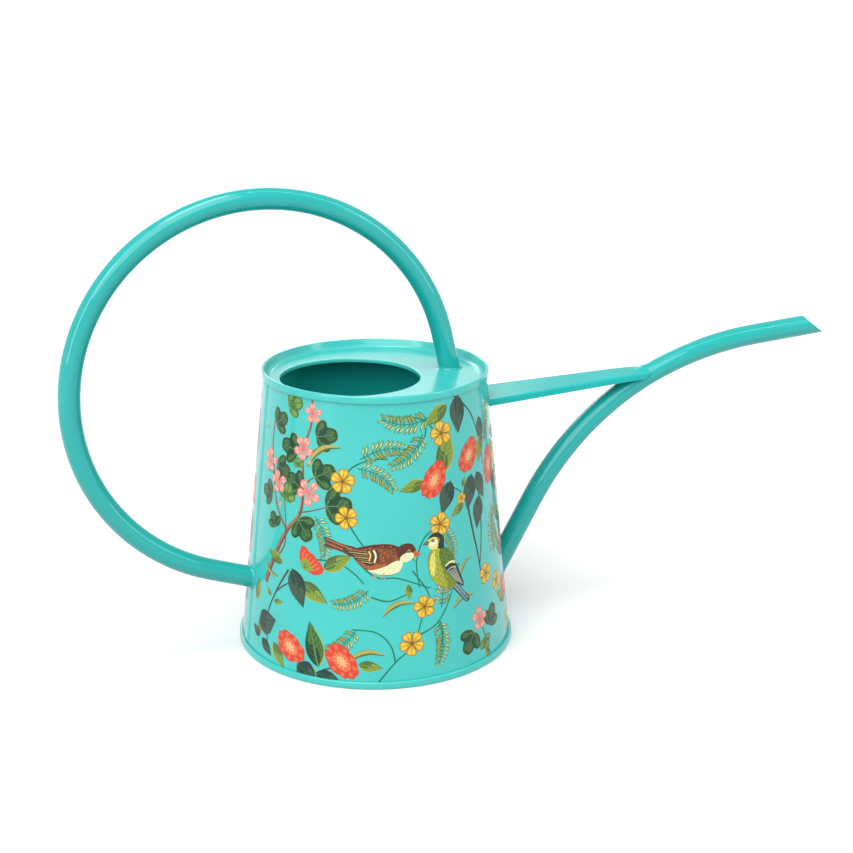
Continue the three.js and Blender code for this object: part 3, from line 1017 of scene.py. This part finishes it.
def red_side_flower(pen):
    """The same flower from the side, held in an olive cup, about 1 in radius."""
    rim = [(-0.9, 0.1), (-0.98, 0.34), (-0.7, 0.5), (-0.36, 0.46), (-0.1, 0.56), (0.3, 0.48), (0.6, 0.5),
           (0.96, 0.3), (0.98, 0.0), (0.76, -0.3), (0.3, -0.5), (-0.3, -0.5), (-0.7, -0.26)]
    pen.blob("red_deep", rim, 3)
    pen.blob("red", [(x * 0.96, y * 0.95) for x, y in rim], 3)
    for k in range(6):
        x = -0.66 + 0.27 * k
        pen.stroke("red_light", [(x * 0.6, -0.3), (x * 0.9, 0.06), (x, 0.36)], 0.05, 0.02, 3, 0.07)
        pen.stroke("red_mid", [
            (x * 0.6 + 0.1, -0.3), (x * 0.9 + 0.12, 0.06), (x + 0.12, 0.4),
        ], 0.03, 0.015)
    pen.blob("olive", [
        (-0.36, -0.48), (-0.4, -0.16), (-0.1, 0.04), (0.16, -0.1), (0.44, -0.12), (0.36, -0.48),
        (0, -0.62),
    ], 3)
    for k in range(5):
        pen.stroke("olive_dark", [(-0.02, -0.58), (-0.24 + 0.12 * k, -0.14)], 0.03, 0.01)


def twig(start, spots, tone, width, end, light=None):
    """A stem through spots of (degrees round from a panel's start, height)."""
    spots = [(start + way, height) for way, height in spots]
    pen = Pen(*spots[0])
    path = []
    for angle, height in spots:
        across = (angle - pen.angle) * math.radians(1) * wall_radius(height)
        path.append((across, height - pen.height))
    pen.stroke(tone, path, width, end, 5)
    if light:
        shifted = [(x - width * 0.16, y) for x, y in path]
        pen.stroke(light, shifted, width * 0.35, end * 0.3, 5)


def plumage(pen, inks, rows, lean, length, gap=1.25, width=0.34):
    """Rows of short strokes, each row (height, left, right), like engraved feathers."""
    dx, dy = math.cos(math.radians(lean)) * length, math.sin(math.radians(lean)) * length
    for i, (y, left, right) in enumerate(rows):
        count = max(1, int((right - left) / gap))
        for k in range(count):
            x = left + (k + (0.5 if i % 2 else 0.15)) * (right - left) / count
            pen.stroke(inks[(i + k) % len(inks)], [(x, y), (x + dx, y + dy)], width, width * 0.35)


def quills(pen, inks, roots, tips, count, width):
    """Long feathers side by side, from points between two roots to points between two tips."""
    for i in range(count):
        t = i / (count - 1)
        ends = [(a[0] + (b[0] - a[0]) * t, a[1] + (b[1] - a[1]) * t) for a, b in (roots, tips)]
        pen.stroke(inks[i % len(inks)], ends, width, width * 0.7)


def eye(pen, x, y, glance):
    pen.fill("plume_umber", ellipse(x, y, 1.12, 1.08, 12))
    pen.fill("plume_tan", ellipse(x, y, 0.9, 0.86, 12))
    pen.fill("plume_night", ellipse(x + 0.1 * glance, y, 0.58, 0.58, 9))
    pen.fill("plume_white", ellipse(x + 0.26 * glance, y + 0.24, 0.17, 0.17, 5))


def green_songbird(pen):
    """A small bird sitting upright, looking to the right before any mirroring. Millimetres."""
    pen.blob("plume_night", [
        (-8.4, -11), (-13, -18), (-17, -23.6), (-14, -25.6), (-9.6, -20), (-5, -12.6),
    ], 3)
    quills(
        pen, ("plume_blue", "plume_mist", "plume_blue"),
        ((-8.2, -11.6), (-5.8, -12.8)), ((-16.4, -23.6), (-13.9, -25.2)), 6, 0.44,
    )
    pen.blob("plume_moss", [
        (-6.5, 9), (-1.5, 13), (4, 12.8), (7.7, 8), (8.6, 1.5), (7.0, -5), (2.5, -10.4), (-3, -13),
        (-7.2, -13.6), (-8.2, -9), (-8.6, -2), (-8, 4),
    ])
    pen.blob("plume_lime", [
        (-1, 12), (4, 12.4), (7.3, 7.6), (8.2, 1.2), (6.6, -5), (2.4, -9.8), (-2, -11.8), (-0.4, -4),
        (0.6, 5),
    ])
    pen.blob("plume_cream", [(3.4, 11.4), (6.4, 7), (7.5, 1.4), (6.4, -3.4), (4.6, -1), (3.6, 5)])
    plumage(pen, ("plume_moss", "plume_cream", "olive_dark"), [
        (10.6, 0.6, 5.4), (9.0, 0.4, 6.4), (7.4, 0.4, 7.2), (5.8, 0.4, 7.6), (4.2, 0.2, 8.0),
        (2.6, 0.0, 8.2), (1.0, -0.4, 8.2), (-0.6, -0.8, 8.0), (-2.2, -1.4, 7.6), (-3.8, -2.0, 7.0),
        (-5.4, -2.6, 6.2), (-7.0, -3.2, 4.8), (-8.6, -4.0, 3.4),
    ], -78, 1.15)
    pen.blob("plume_green", [
        (-3.4, 12.2), (-7.6, 7), (-9.8, 0), (-8.6, -4), (-4, -3.4), (-0.4, 1.6), (0.6, 7.4), (-0.4, 11),
    ])
    plumage(pen, ("plume_moss", "leaf_dark", "plume_lime"), [
        (10.6, -3.8, -0.4), (9.0, -5.2, -0.2), (7.4, -6.4, 0.0), (5.8, -7.4, 0.0), (4.2, -8.2, -0.4),
        (2.6, -8.8, -1.0),
    ], -112, 1.3, 1.1)
    pen.blob("plume_night", [
        (-9.4, 0.4), (-12, -7), (-13.6, -14), (-12.2, -15), (-8.4, -11), (-4.4, -5.6), (-2.4, -1.4),
        (-4, 1.2),
    ])
    quills(pen, ("plume_mist", "plume_night", "plume_white", "plume_night"),
           ((-9.0, -2.6), (-3.4, -3.2)), ((-12.8, -14.2), (-8.6, -10.8)), 13, 0.3)
    pen.stroke("plume_white", [(-9.3, 0.6), (-6, 1.8), (-2.4, 0.4)], 1.5, 0.8)
    pen.stroke("plume_cream", [(-9.2, 0.2), (-6, 1.3), (-2.6, 0.0)], 0.5, 0.3)
    pen.stroke("plume_mist", [(-9.6, -2.4), (-6.4, -1.6), (-3, -2.8)], 0.9, 0.5)
    pen.blob("plume_night", [
        (-3.4, 12.6), (-3.8, 17.6), (-0.6, 21.2), (3.6, 21), (6.4, 18.2), (4.4, 14.6), (1.0, 12.2),
        (-1.8, 11.2),
    ])
    plumage(pen, ("slate_mid", "leaf_dark"), [
        (20.2, 0.0, 3.6), (18.8, -2.4, 0.6), (17.4, -2.8, -0.4), (15.8, -3.0, -1.0), (14.2, -2.8, -1.0),
    ], -120, 1.1, 1.0, 0.3)
    pen.blob("plume_cream", [
        (-0.8, 17.4), (2.6, 19.2), (6.0, 18.4), (6.8, 16.6), (5.8, 13.2), (2.4, 11.8), (0.4, 13.4),
    ])
    pen.blob("plume_white", [(0.4, 16.6), (2.8, 17.6), (5.6, 17), (5.4, 14.6), (2.8, 13.6)])
    plumage(pen, ("plume_lime", "plume_white"), [
        (16.2, 0.2, 2.0), (14.8, 0.6, 5.6), (13.6, 0.8, 5.4), (12.6, 1.2, 4.6),
    ], -76, 0.9, 0.95, 0.24)
    pen.stroke("plume_night", [(4.0, 17.5), (5.4, 17.3), (6.6, 16.9)], 0.3, 0.5)
    pen.stroke("plume_night", [(0.2, 18.2), (-0.4, 16), (0.4, 13.8)], 0.7, 0.4)
    eye(pen, 3.2, 17.4, 1)
    pen.blob("plume_umber", [(6.2, 17.9), (8.0, 17.5), (9.8, 16.5), (8.0, 16.0), (6.3, 15.8)], 3)
    pen.stroke("plume_tan", [(6.6, 16.9), (9.2, 16.6)], 0.5, 0.15)
    for x in (-1.2, 1.8):
        pen.stroke("plume_tan", [(x, -11.2), (x + 0.7, -13.0), (x + 2.0, -13.8)], 0.7, 0.35)
        pen.stroke("plume_tan", [(x + 0.6, -12.8), (x - 0.8, -14)], 0.5, 0.3)


def brown_songbird(pen):
    """A small bird leaning along a twig, looking to the left before any mirroring. Millimetres."""
    pen.blob("plume_umber", [
        (11, 6.2), (20, 7.6), (28.6, 9.6), (28.0, 6.8), (28.6, 4.4), (20, 3.4), (12, 1.2),
    ], 3)
    quills(
        pen, ("plume_rust", "plume_tan", "plume_umber", "plume_rust"),
        ((12, 5.4), (12, 2.0)), ((28.0, 9.0), (28.0, 4.9)), 9, 0.42,
    )
    pen.blob("plume_rust", [
        (-13, 4), (-10.5, 8), (-5, 9.6), (2, 9), (9, 7.2), (14.5, 4.6), (12.5, 0.5), (6.5, -4.2),
        (-1, -7), (-8, -6.8), (-12.6, -3),
    ])
    pen.blob("plume_umber", [
        (-12, 5.4), (-10, 8), (-5, 9.4), (2, 8.8), (9, 7), (12, 5.6), (4, 6.8), (-4, 7.2), (-9, 6),
    ])
    pen.blob("plume_amber", [(-4, -1.6), (4, -0.6), (10.6, 0.4), (6.6, -3.6), (0, -4.4), (-5, -3.4)])
    pen.blob("plume_white", [
        (-13, -0.4), (-9.6, 0.8), (-4, -2.4), (2, -4.6), (5, -4.8), (0, -6.7), (-7, -6.7),
        (-11.6, -4.6),
    ])
    plumage(pen, ("plume_rust", "plume_night", "plume_tan"), [
        (8.4, -9.6, 1.4), (7.2, -10.6, 7.4), (6.0, -11.0, 10.4), (4.8, -11.0, -4.6),
        (3.4, -11.0, -5.4), (2.0, -11.0, -6.0), (0.6, -8.6, -5.2), (-1.0, -6.4, -3.4),
    ], -24, 1.5, 1.35)
    plumage(pen, ("plume_amber", "plume_umber"), [
        (-1.2, 4, 11), (-2.4, 2, 8.6), (-3.4, 0, 6),
    ], -14, 1.4, 1.3)
    plumage(pen, ("plume_tan", "plume_cream"), [
        (-0.8, -11.8, -8.6), (-2.0, -12, -5.4), (-3.2, -11.8, -2.6), (-4.4, -11, 0.6),
        (-5.6, -9.6, 2.6),
    ], -34, 1.1, 1.3, 0.26)
    pen.blob("plume_night", [(2, 5.8), (9, 5.2), (18.6, 5.0), (13, 1.6), (7, -1.8), (1.6, -1.6)])
    quills(
        pen, ("plume_tan", "plume_umber", "plume_cream", "plume_umber"),
        ((3.4, 4.8), (3.0, -1.0)), ((17.2, 4.8), (8.8, -0.6)), 11, 0.32,
    )
    pen.blob("plume_rust", [
        (-6, 6.4), (-1, 7.6), (4.4, 6.4), (5.4, 2.6), (2.4, -1.2), (-3.4, -1), (-6.4, 2.4),
    ])
    plumage(pen, ("plume_amber", "plume_umber", "plume_tan"), [
        (6.2, -4.8, 3.2), (5.0, -5.6, 0.8), (3.8, -5.8, -0.4), (2.6, -5.8, -1.2), (1.2, -5.0, -1.6),
    ], -40, 1.3, 1.15)
    pen.stroke("plume_night", [(1.4, 6.2), (-0.2, 3), (0.4, -0.8)], 0.9, 0.6)
    pen.stroke("plume_white", [(2.6, 5.8), (1.2, 3), (1.8, -0.8)], 1.1, 0.7)
    pen.stroke("plume_night", [(3.8, 5.6), (2.6, 3), (3.2, -0.6)], 0.7, 0.5)
    pen.stroke("plume_cream", [(5.0, 5.2), (4.0, 3), (4.6, 0)], 0.8, 0.5)
    pen.blob("plume_umber", [
        (-9.6, 7.2), (-13.2, 9.8), (-17.2, 9.6), (-19.6, 6.6), (-18.8, 3.4), (-15, 2), (-10.6, 2.4),
    ])
    plumage(pen, ("plume_rust", "plume_night"), [
        (8.8, -17, -11.6), (7.4, -18.4, -17), (7.6, -13.6, -9.8), (6.2, -12.2, -9.8),
    ], 200, 1.2, 1.0, 0.3)
    pen.blob("plume_white", [
        (-18.8, 4.4), (-16.4, 5.2), (-13.8, 4.6), (-11.6, 2.6), (-12, 0), (-15.8, 0.4), (-18.4, 2.4),
    ])
    plumage(pen, ("plume_cream", "plume_tan"), [
        (3.6, -17.6, -13), (2.4, -17.2, -12.2), (1.4, -15.8, -12),
    ], -50, 0.9, 0.95, 0.24)
    pen.stroke("plume_night", [(-18.6, 5.0), (-16.0, 5.6), (-13.2, 5.0)], 0.5, 0.3)
    eye(pen, -16.0, 5.9, -1)
    pen.blob("beak", [(-19.0, 5.9), (-21.0, 5.0), (-22.6, 3.6), (-20.6, 3.2), (-18.7, 3.0)], 3)
    pen.stroke("plume_umber", [(-18.9, 4.5), (-22.2, 3.7)], 0.28, 0.12)
    for x in (-3.6, 0.8):
        pen.stroke("plume_tan", [(x, -6), (x + 0.4, -8.0), (x - 0.9, -9.0)], 0.7, 0.35)
        pen.stroke("plume_tan", [(x + 0.4, -7.8), (x + 1.6, -9.0)], 0.5, 0.3)


def each(draw, start, spots, *extra):
    """Draws a motif at every (way round, height, turn, size) from a panel's start."""
    for way, height, turn, size in spots:
        draw(Pen(start + way, height, turn, size), *extra)


def draw_stems(start):
    for width, end, spots in (
        (2.7, 1.3, ((12, 39), (18, 54), (25, 67), (32, 76), (33, 90))),
        (1.3, 0.9, ((33, 89), (32, 104), (36, 116), (36, 128))),
        (1.2, 0.8, ((25, 66), (17, 76), (13, 90), (10, 104), (12, 120))),
    ):
        twig(start, spots, "bark", width, end, "bark_light")
    twig(start, ((16, 50), (23, 58), (24, 67), (22, 80)), "bark", 0.9, 0.5)
    for spots in (
        ((31, 98), (36, 103), (41, 107)), ((33, 88), (37, 92), (42, 94)),
        ((31, 76), (38, 78), (46, 81)), ((31, 104), (27, 102), (23, 99)),
        ((33, 84), (28, 86), (25, 86)), ((8, 90), (12, 90), (14, 88)),
    ):
        twig(start, spots, "bark", 0.6, 0.4)
    for spots in (
        ((53, 92), (57, 99), (66, 103), (74, 103)), ((53, 89), (50, 84), (54, 79)),
        ((55, 76), (61, 67), (66, 61)), ((98, 112), (93, 118), (84, 121), (76, 119)),
        ((93, 118), (92, 112), (88, 107)), ((97, 71), (90, 67), (86, 57), (87, 45)),
        ((96, 88), (103, 88), (108, 86), (113, 82)), ((69, 3), (76, 12), (84, 20), (89, 36)),
        ((76, 12), (74, 20), (68, 26), (58, 27)), ((85, 23), (94, 27), (100, 35), (104, 44)),
        ((96, 28), (97, 22), (95, 12)), ((60, 58), (68, 51), (78, 50), (92, 44)),
        ((84, 53), (90, 44), (92, 38)), ((35, 56), (50, 57), (58, 53), (63, 48)),
        ((66, 42), (74, 40), (84, 44)),
    ):
        twig(start, spots, "stem", 0.75, 0.5)
    for width, spots in (
        (1.3, ((114, 82), (117, 66), (120, 52), (122, 38))), (1.0, ((124, 80), (124, 64), (121, 48))),
        (0.9, ((110, 127), (121, 118), (127, 106), (130, 92))),
        (1.0, ((27, 49), (20, 37), (15, 24), (16, 12))), (0.8, ((119, 8), (121, 14), (118, 21))),
        (0.8, ((20, 37), (26, 42), (34, 46))), (0.7, ((102, 96), (101, 105), (100, 109))),
        (0.8, ((46, 7), (52, 9), (60, 10))), (1.1, ((150, 4), (153, 26), (150, 50), (156, 72))),
        (0.8, ((153, 40), (160, 50), (168, 54))),
        (0.8, ((156, 72), (154, 92), (160, 112), (158, 127))),
    ):
        twig(start, spots, "stem_dark", width, width * 0.55)


def draw_leaves(start):
    each(lobed_leaf, start, (
        (12, 112, 34, 9.5), (29, 103, 168, 10.5), (39, 111, 12, 10.5), (15, 94, -10, 9.5),
        (39, 93, 28, 11), (32, 87, 152, 10), (45, 81, 8, 12.5), (31, 73, -52, 11), (13, 80, 176, 9),
        (17, 66, 118, 7.5), (114, 18, -126, 11), (125, 17, 62, 10.5), (168, 55, 30, 11),
        (161, 50, -70, 10), (158, 84, 170, 11), (160, 106, 20, 11),
    ))
    each(lobed_leaf, start, (
        (22, 80, 72, 8.5), (21, 122, 20, 9), (30, 96, 104, 4.5), (120, 13, -60, 7), (160, 121, -20, 9),
    ), True)
    each(pointed_leaf, start, (
        (91, 92, 196, 12), (101, 94, 80, 20), (105, 124, 214, 14), (45, 53, 30, 15), (23, 51, 160, 11),
        (34, 45, -28, 16), (61, 11, -8, 11), (10, 13, 96, 8), (20, 13, -52, 13), (19, 32, 10, 6),
        (17, 34, 140, 5), (130, 106, 250, 13), (112, 86, 60, 5), (112, 79, 214, 9), (5, 28, 82, 11),
        (82, 47, -88, 7), (150, 60, 140, 15), (146, 22, 150, 14), (156, 32, 20, 14), (161, 78, -20, 13),
        (121, 8, -64, 8), (142, 100, -70, 13), (43, 5, 150, 6),
    ))
    each(pointed_leaf, start, ((44, 8, 104, 21), (157, 14, 30, 13)), ("leaf_dark", "leaf_soft"), 0.95)
    each(dark_leaf, start, (
        (105, 90, -112, 15), (119, 90, -106, 16), (123, 90, -70, 14), (124, 79, -104, 15),
        (112, 127, -92, 17), (29, 50, -66, 18), (12, 12, -36, 10), (43, 5, -14, 13),
        (129, 114, -84, 12), (140, 86, -60, 14), (151, 44, 156, 13), (155, 100, 160, 12),
        (10, 12, 150, 8),
    ), 1.15)
    each(dark_leaf, start, ((9, 18, 24, 14), (34, 7, -28, 12)), 1.8)
    each(sickle_leaf, start, (
        (36, 99, 30, 17), (71, 33, 20, 15), (57, 12, 12, 16), (103, 32, 16, 13), (74, 62, -24, 13),
        (21, 44, 150, 12), (108, 46, 46, 10), (140, 66, 60, 16), (170, 84, 80, 14), (144, 118, -20, 14),
    ))


def draw_fronds(start):
    each(frond, start, (
        (61, 103, 8, 20), (60, 99, -34, 18), (95, 120, 176, 21), (91, 113, -140, 19),
        (40, 76, -76, 18), (99, 70, -72, 15), (97, 34, 62, 20), (95, 28, -94, 19), (60, 27, 214, 18),
        (65, 45, 202, 17), (136, 48, 84, 21), (140, 120, -112, 18), (166, 112, -88, 21),
        (163, 22, 60, 19), (146, 46, 118, 16), (172, 40, -94, 18),
    ))


def draw_blooms(start, dice):
    each(pink_bud, start, ((35, 97, 66, 3.6), (19, 80, -84, 3.8), (5, 108, 100, 3.6), (171, 60, 60, 3.6)))
    each(pink_blossom, start, (
        (37, 121, 20, 4.4), (32, 105, -16, 5.4), (9, 95, 10, 5.4), (17, 87, 30, 5.2), (36, 86, 50, 6.2),
        (118, 23, 16, 5.4), (169, 48, 40, 5.2), (164, 92, 0, 5.4),
    ))
    each(yellow_flower, start, (
        (53, 93, 12, 5.6), (55, 77, 40, 5.2), (101, 112, 30, 5.6), (98, 72, 0, 5.4),
        (89, 36, 26, 5.2), (83, 20, 50, 5.8), (125, 42, 20, 5.0), (135, 35, 44, 5.0),
        (111, 81, 10, 2.6), (156, 72, 20, 5.2), (148, 10, 50, 5.0), (150, 92, 30, 5.2),
    ))
    for way, height, turn, size, squash in (
        (96, 92, 60, 9.0, 0.62), (118, 99, 52, 8.6, 0.66), (137, 90, 80, 9.0, 0.7),
        (30, 14, -30, 8.8, 0.7), (54, 12, -48, 9.4, 0.66), (153, 54, 40, 8.6, 0.72),
        (148, 28, -20, 8.0, 0.7), (170, 74, 70, 8.0, 0.7),
    ):
        red_flower(Pen(start + way, height, turn, size, squash), dice)
    red_side_flower(Pen(start + 38, 55, -38, 7.6))


def draw_panel(start, dice):
    """One panel of the print. The motifs are drawn here, but the plants stand where the photographed
    print has them.
    A squash of -1 mirrors a bird."""
    draw_stems(start)
    draw_fronds(start)
    draw_leaves(start)
    draw_blooms(start, dice)
    brown_songbird(Pen(start + 69, 58, 176, 0.84, -1))
    green_songbird(Pen(start + 98, 52, 186, 0.78, -1))


def compose(low, high, left, right):
    """Cuts the overlapping shapes into triangles that each carry the ink on top.
    Upright cuts every few degrees let the ink follow the curve of the wall."""
    overshoot, column = 20, math.radians(5)
    points, edges, faces = [], [], []
    for _, outline in Pen.shapes:
        first = len(points)
        points += [Vector(p) for p in outline]
        faces.append(list(range(first, len(points))))
    columns = 2 * round((right - left) / (CHART_RADIUS * column))
    for i in range(columns + 1):
        x = left + (right - left) * i / columns
        edges.append((len(points), len(points) + 1))
        points += [Vector((x, low - overshoot)), Vector((x, high + overshoot))]
    for z in (low, high):
        edges.append((len(points), len(points) + 1))
        points += [Vector((left - overshoot, z)), Vector((right + overshoot, z))]
    result = delaunay_2d_cdt(points, edges, faces, 1, 1e-4)
    corners, triangles, owners = result[0], result[2], result[5]
    kept = []
    for triangle, owner in zip(triangles, owners):
        middle = sum((corners[i] for i in triangle), Vector((0, 0))) / len(triangle)
        if owner and left < middle.x < right and low < middle.y < high:
            kept.append((triangle, Pen.shapes[max(owner)][0]))
    return corners, kept


def make_print_piece(name, corners, kept):
    used = sorted({i for triangle, _ in kept for i in triangle})
    places = {old: new for new, old in enumerate(used)}
    points, normals = [], []
    slope = (WALL_FOOT_RADIUS - WALL_HEAD_RADIUS) / (BODY_HEIGHT - 2 * SEAM_HEIGHT)
    for i in used:
        turn, z = corners[i].x / CHART_RADIUS, corners[i].y
        r = wall_radius(z) + INK_LIFT
        points.append(Vector((r * math.cos(turn), r * math.sin(turn), z)) * MM)
        normals.append(Vector((math.cos(turn), math.sin(turn), slope)).normalized())
    mesh = bpy.data.meshes.new(name)
    mesh.from_pydata(points, [], [[places[i] for i in triangle] for triangle, _ in kept])
    names = sorted({ink for _, ink in kept})
    for ink in names:
        mesh.materials.append(ink_materials[ink])
    for face, (_, ink) in zip(mesh.polygons, kept):
        face.material_index = names.index(ink)
    mesh.shade_smooth()
    mesh.normals_split_custom_set_from_vertices(normals)
    ride_body(add_object(name, mesh))


def make_print():
    """The ink rolled on to the wall, from one side of the lock seam round to the other."""
    dice = random.Random(PRINT_SEED)
    tuck = 0.2  # the ink runs a little way into both seams
    for i in range(PANELS):
        draw_panel(PANEL_START + PANEL_STEP * i, dice)
    left, right = (math.radians(a) * CHART_RADIUS for a in (PANEL_START, 720 - PANEL_START))
    corners, kept = compose(SEAM_HEIGHT - tuck, BODY_HEIGHT - SEAM_HEIGHT + tuck, left, right)
    middle = (left + right) / 2
    near, far = [], []
    for triangle, ink in kept:
        side = near if sum(corners[i].x for i in triangle) / len(triangle) < middle else far
        side.append((triangle, ink))
    make_print_piece("body_print_near", corners, near)
    make_print_piece("body_print_far", corners, far)


# ---- Stage -------------------------------------------------------------------------


def make_floor():
    """Plain and pale, with painted shade: its colour is a little darker close round the can, where the
    lamps are strongest.
    """
    half = 20.0
    mesh = bpy.data.meshes.new("floor")
    corners = [(-half, -half, 0), (half, -half, 0), (half, half, 0), (-half, half, 0)]
    mesh.from_pydata(corners, [], [(0, 1, 2, 3)])
    floor = add_object("floor", mesh)
    n = new_material("pale_floor")
    n.set(Roughness=0.7, Specular_IOR_Level=0.2)
    place = n.add("TexCoord").outputs["Object"]
    reach = n.add("VectorMath", {0: place}, operation="LENGTH").outputs["Value"]
    # Painted shade: the floor's own colour darkens towards the can
    n.drive("Base Color", n.between(reach, 0.75, 0.96, 0.3, 0.8))
    mesh.materials.append(n.owner)
    floor.visible_diffuse = False


def aim_lamp(lamp, place, target):
    lamp.location = place
    lamp.rotation_euler = (Vector(target) - Vector(place)).to_track_quat("-Z", "Y").to_euler()


def add_softbox(name, place, size, power):
    light = bpy.data.lights.new(name, "AREA")
    light.shape = "RECTANGLE"
    light.size, light.size_y = size
    light.energy = power
    aim_lamp(add_object(name, light), place, (0.03, 0, 0.1))


def make_world():
    """A pale room, dimmer overhead, with a bright haze at the horizon and less light from below."""
    n = Nodes(bpy.data.worlds.new("studio"), "Background")
    place = n.add("TexCoord").outputs["Generated"]
    height = n.add("SeparateXYZ", {"Vector": place}).outputs["Z"]
    level = n.between(height, 0.78, 0.5)
    haze = n.between(height, 0.34, 0.0, 0.06, 0.14)
    above = n.between(height, 0.75, 1.0, -0.06, 0.02)
    total = n.add("Math", {0: level, 1: haze}).outputs["Value"]
    product = n.add("Math", {0: total, 1: above}, operation="MULTIPLY").outputs["Value"]
    n.drive("Strength", product)
    n.set(Color=(1.0, 1.0, 1.0, 1.0))
    bpy.context.scene.world = n.owner


def make_lights():
    """One broad overhead light and five softboxes that draw the highlights."""
    sun = bpy.data.lights.new("overhead", "SUN")
    sun.energy = 2.4
    sun.angle = math.radians(60)
    aim_lamp(add_object("overhead", sun), (-0.55, -0.85, 1.05), (0, 0, 0))
    for name, place, size, power in (
        ("softbox_top", (-0.25, -0.1, 1.1), (0.3, 0.5), 3.4),
        ("softbox_strip", (0.5, -0.25, 0.95), (0.025, 1.1), 1.5),
        ("softbox_back", (0.1, 1.2, 0.7), (0.9, 0.3), 3.2),
        ("softbox_left", (-1.1, -0.5, 0.55), (0.3, 0.9), 4.0),
        ("softbox_right", (1.0, -0.8, 0.6), (0.25, 0.9), 3.0),
    ):
        add_softbox(name, place, size, power)


def make_camera():
    """A long lens from in front, a little above and to the handle's side."""
    camera = bpy.data.cameras.new("camera")
    camera.lens = 67.63
    camera.sensor_width = 36.0
    holder = add_object("camera", camera)
    target = Vector((22.15, -7.88, 101.6)) * MM
    distance = 736.3 * MM
    azimuth, elevation, roll = map(math.radians, (-19.83, 17.21, -0.406))
    back = Vector((
        math.sin(azimuth) * math.cos(elevation),
        -math.cos(azimuth) * math.cos(elevation),
        math.sin(elevation),
    ))
    holder.location = target + back * distance
    aim = (-back).to_track_quat("-Z", "Y")
    aim.rotate(Quaternion(-back, roll))
    holder.rotation_euler = aim.to_euler()
    bpy.context.scene.camera = holder


make_wall()
make_base()
make_cover()
make_seal()
make_handle()
make_spout()
make_brace()
make_tube_welds()
make_brace_welds()
make_print()
make_floor()
make_world()
make_lights()
make_camera()
bpy.context.scene.view_settings.view_transform = "Standard"
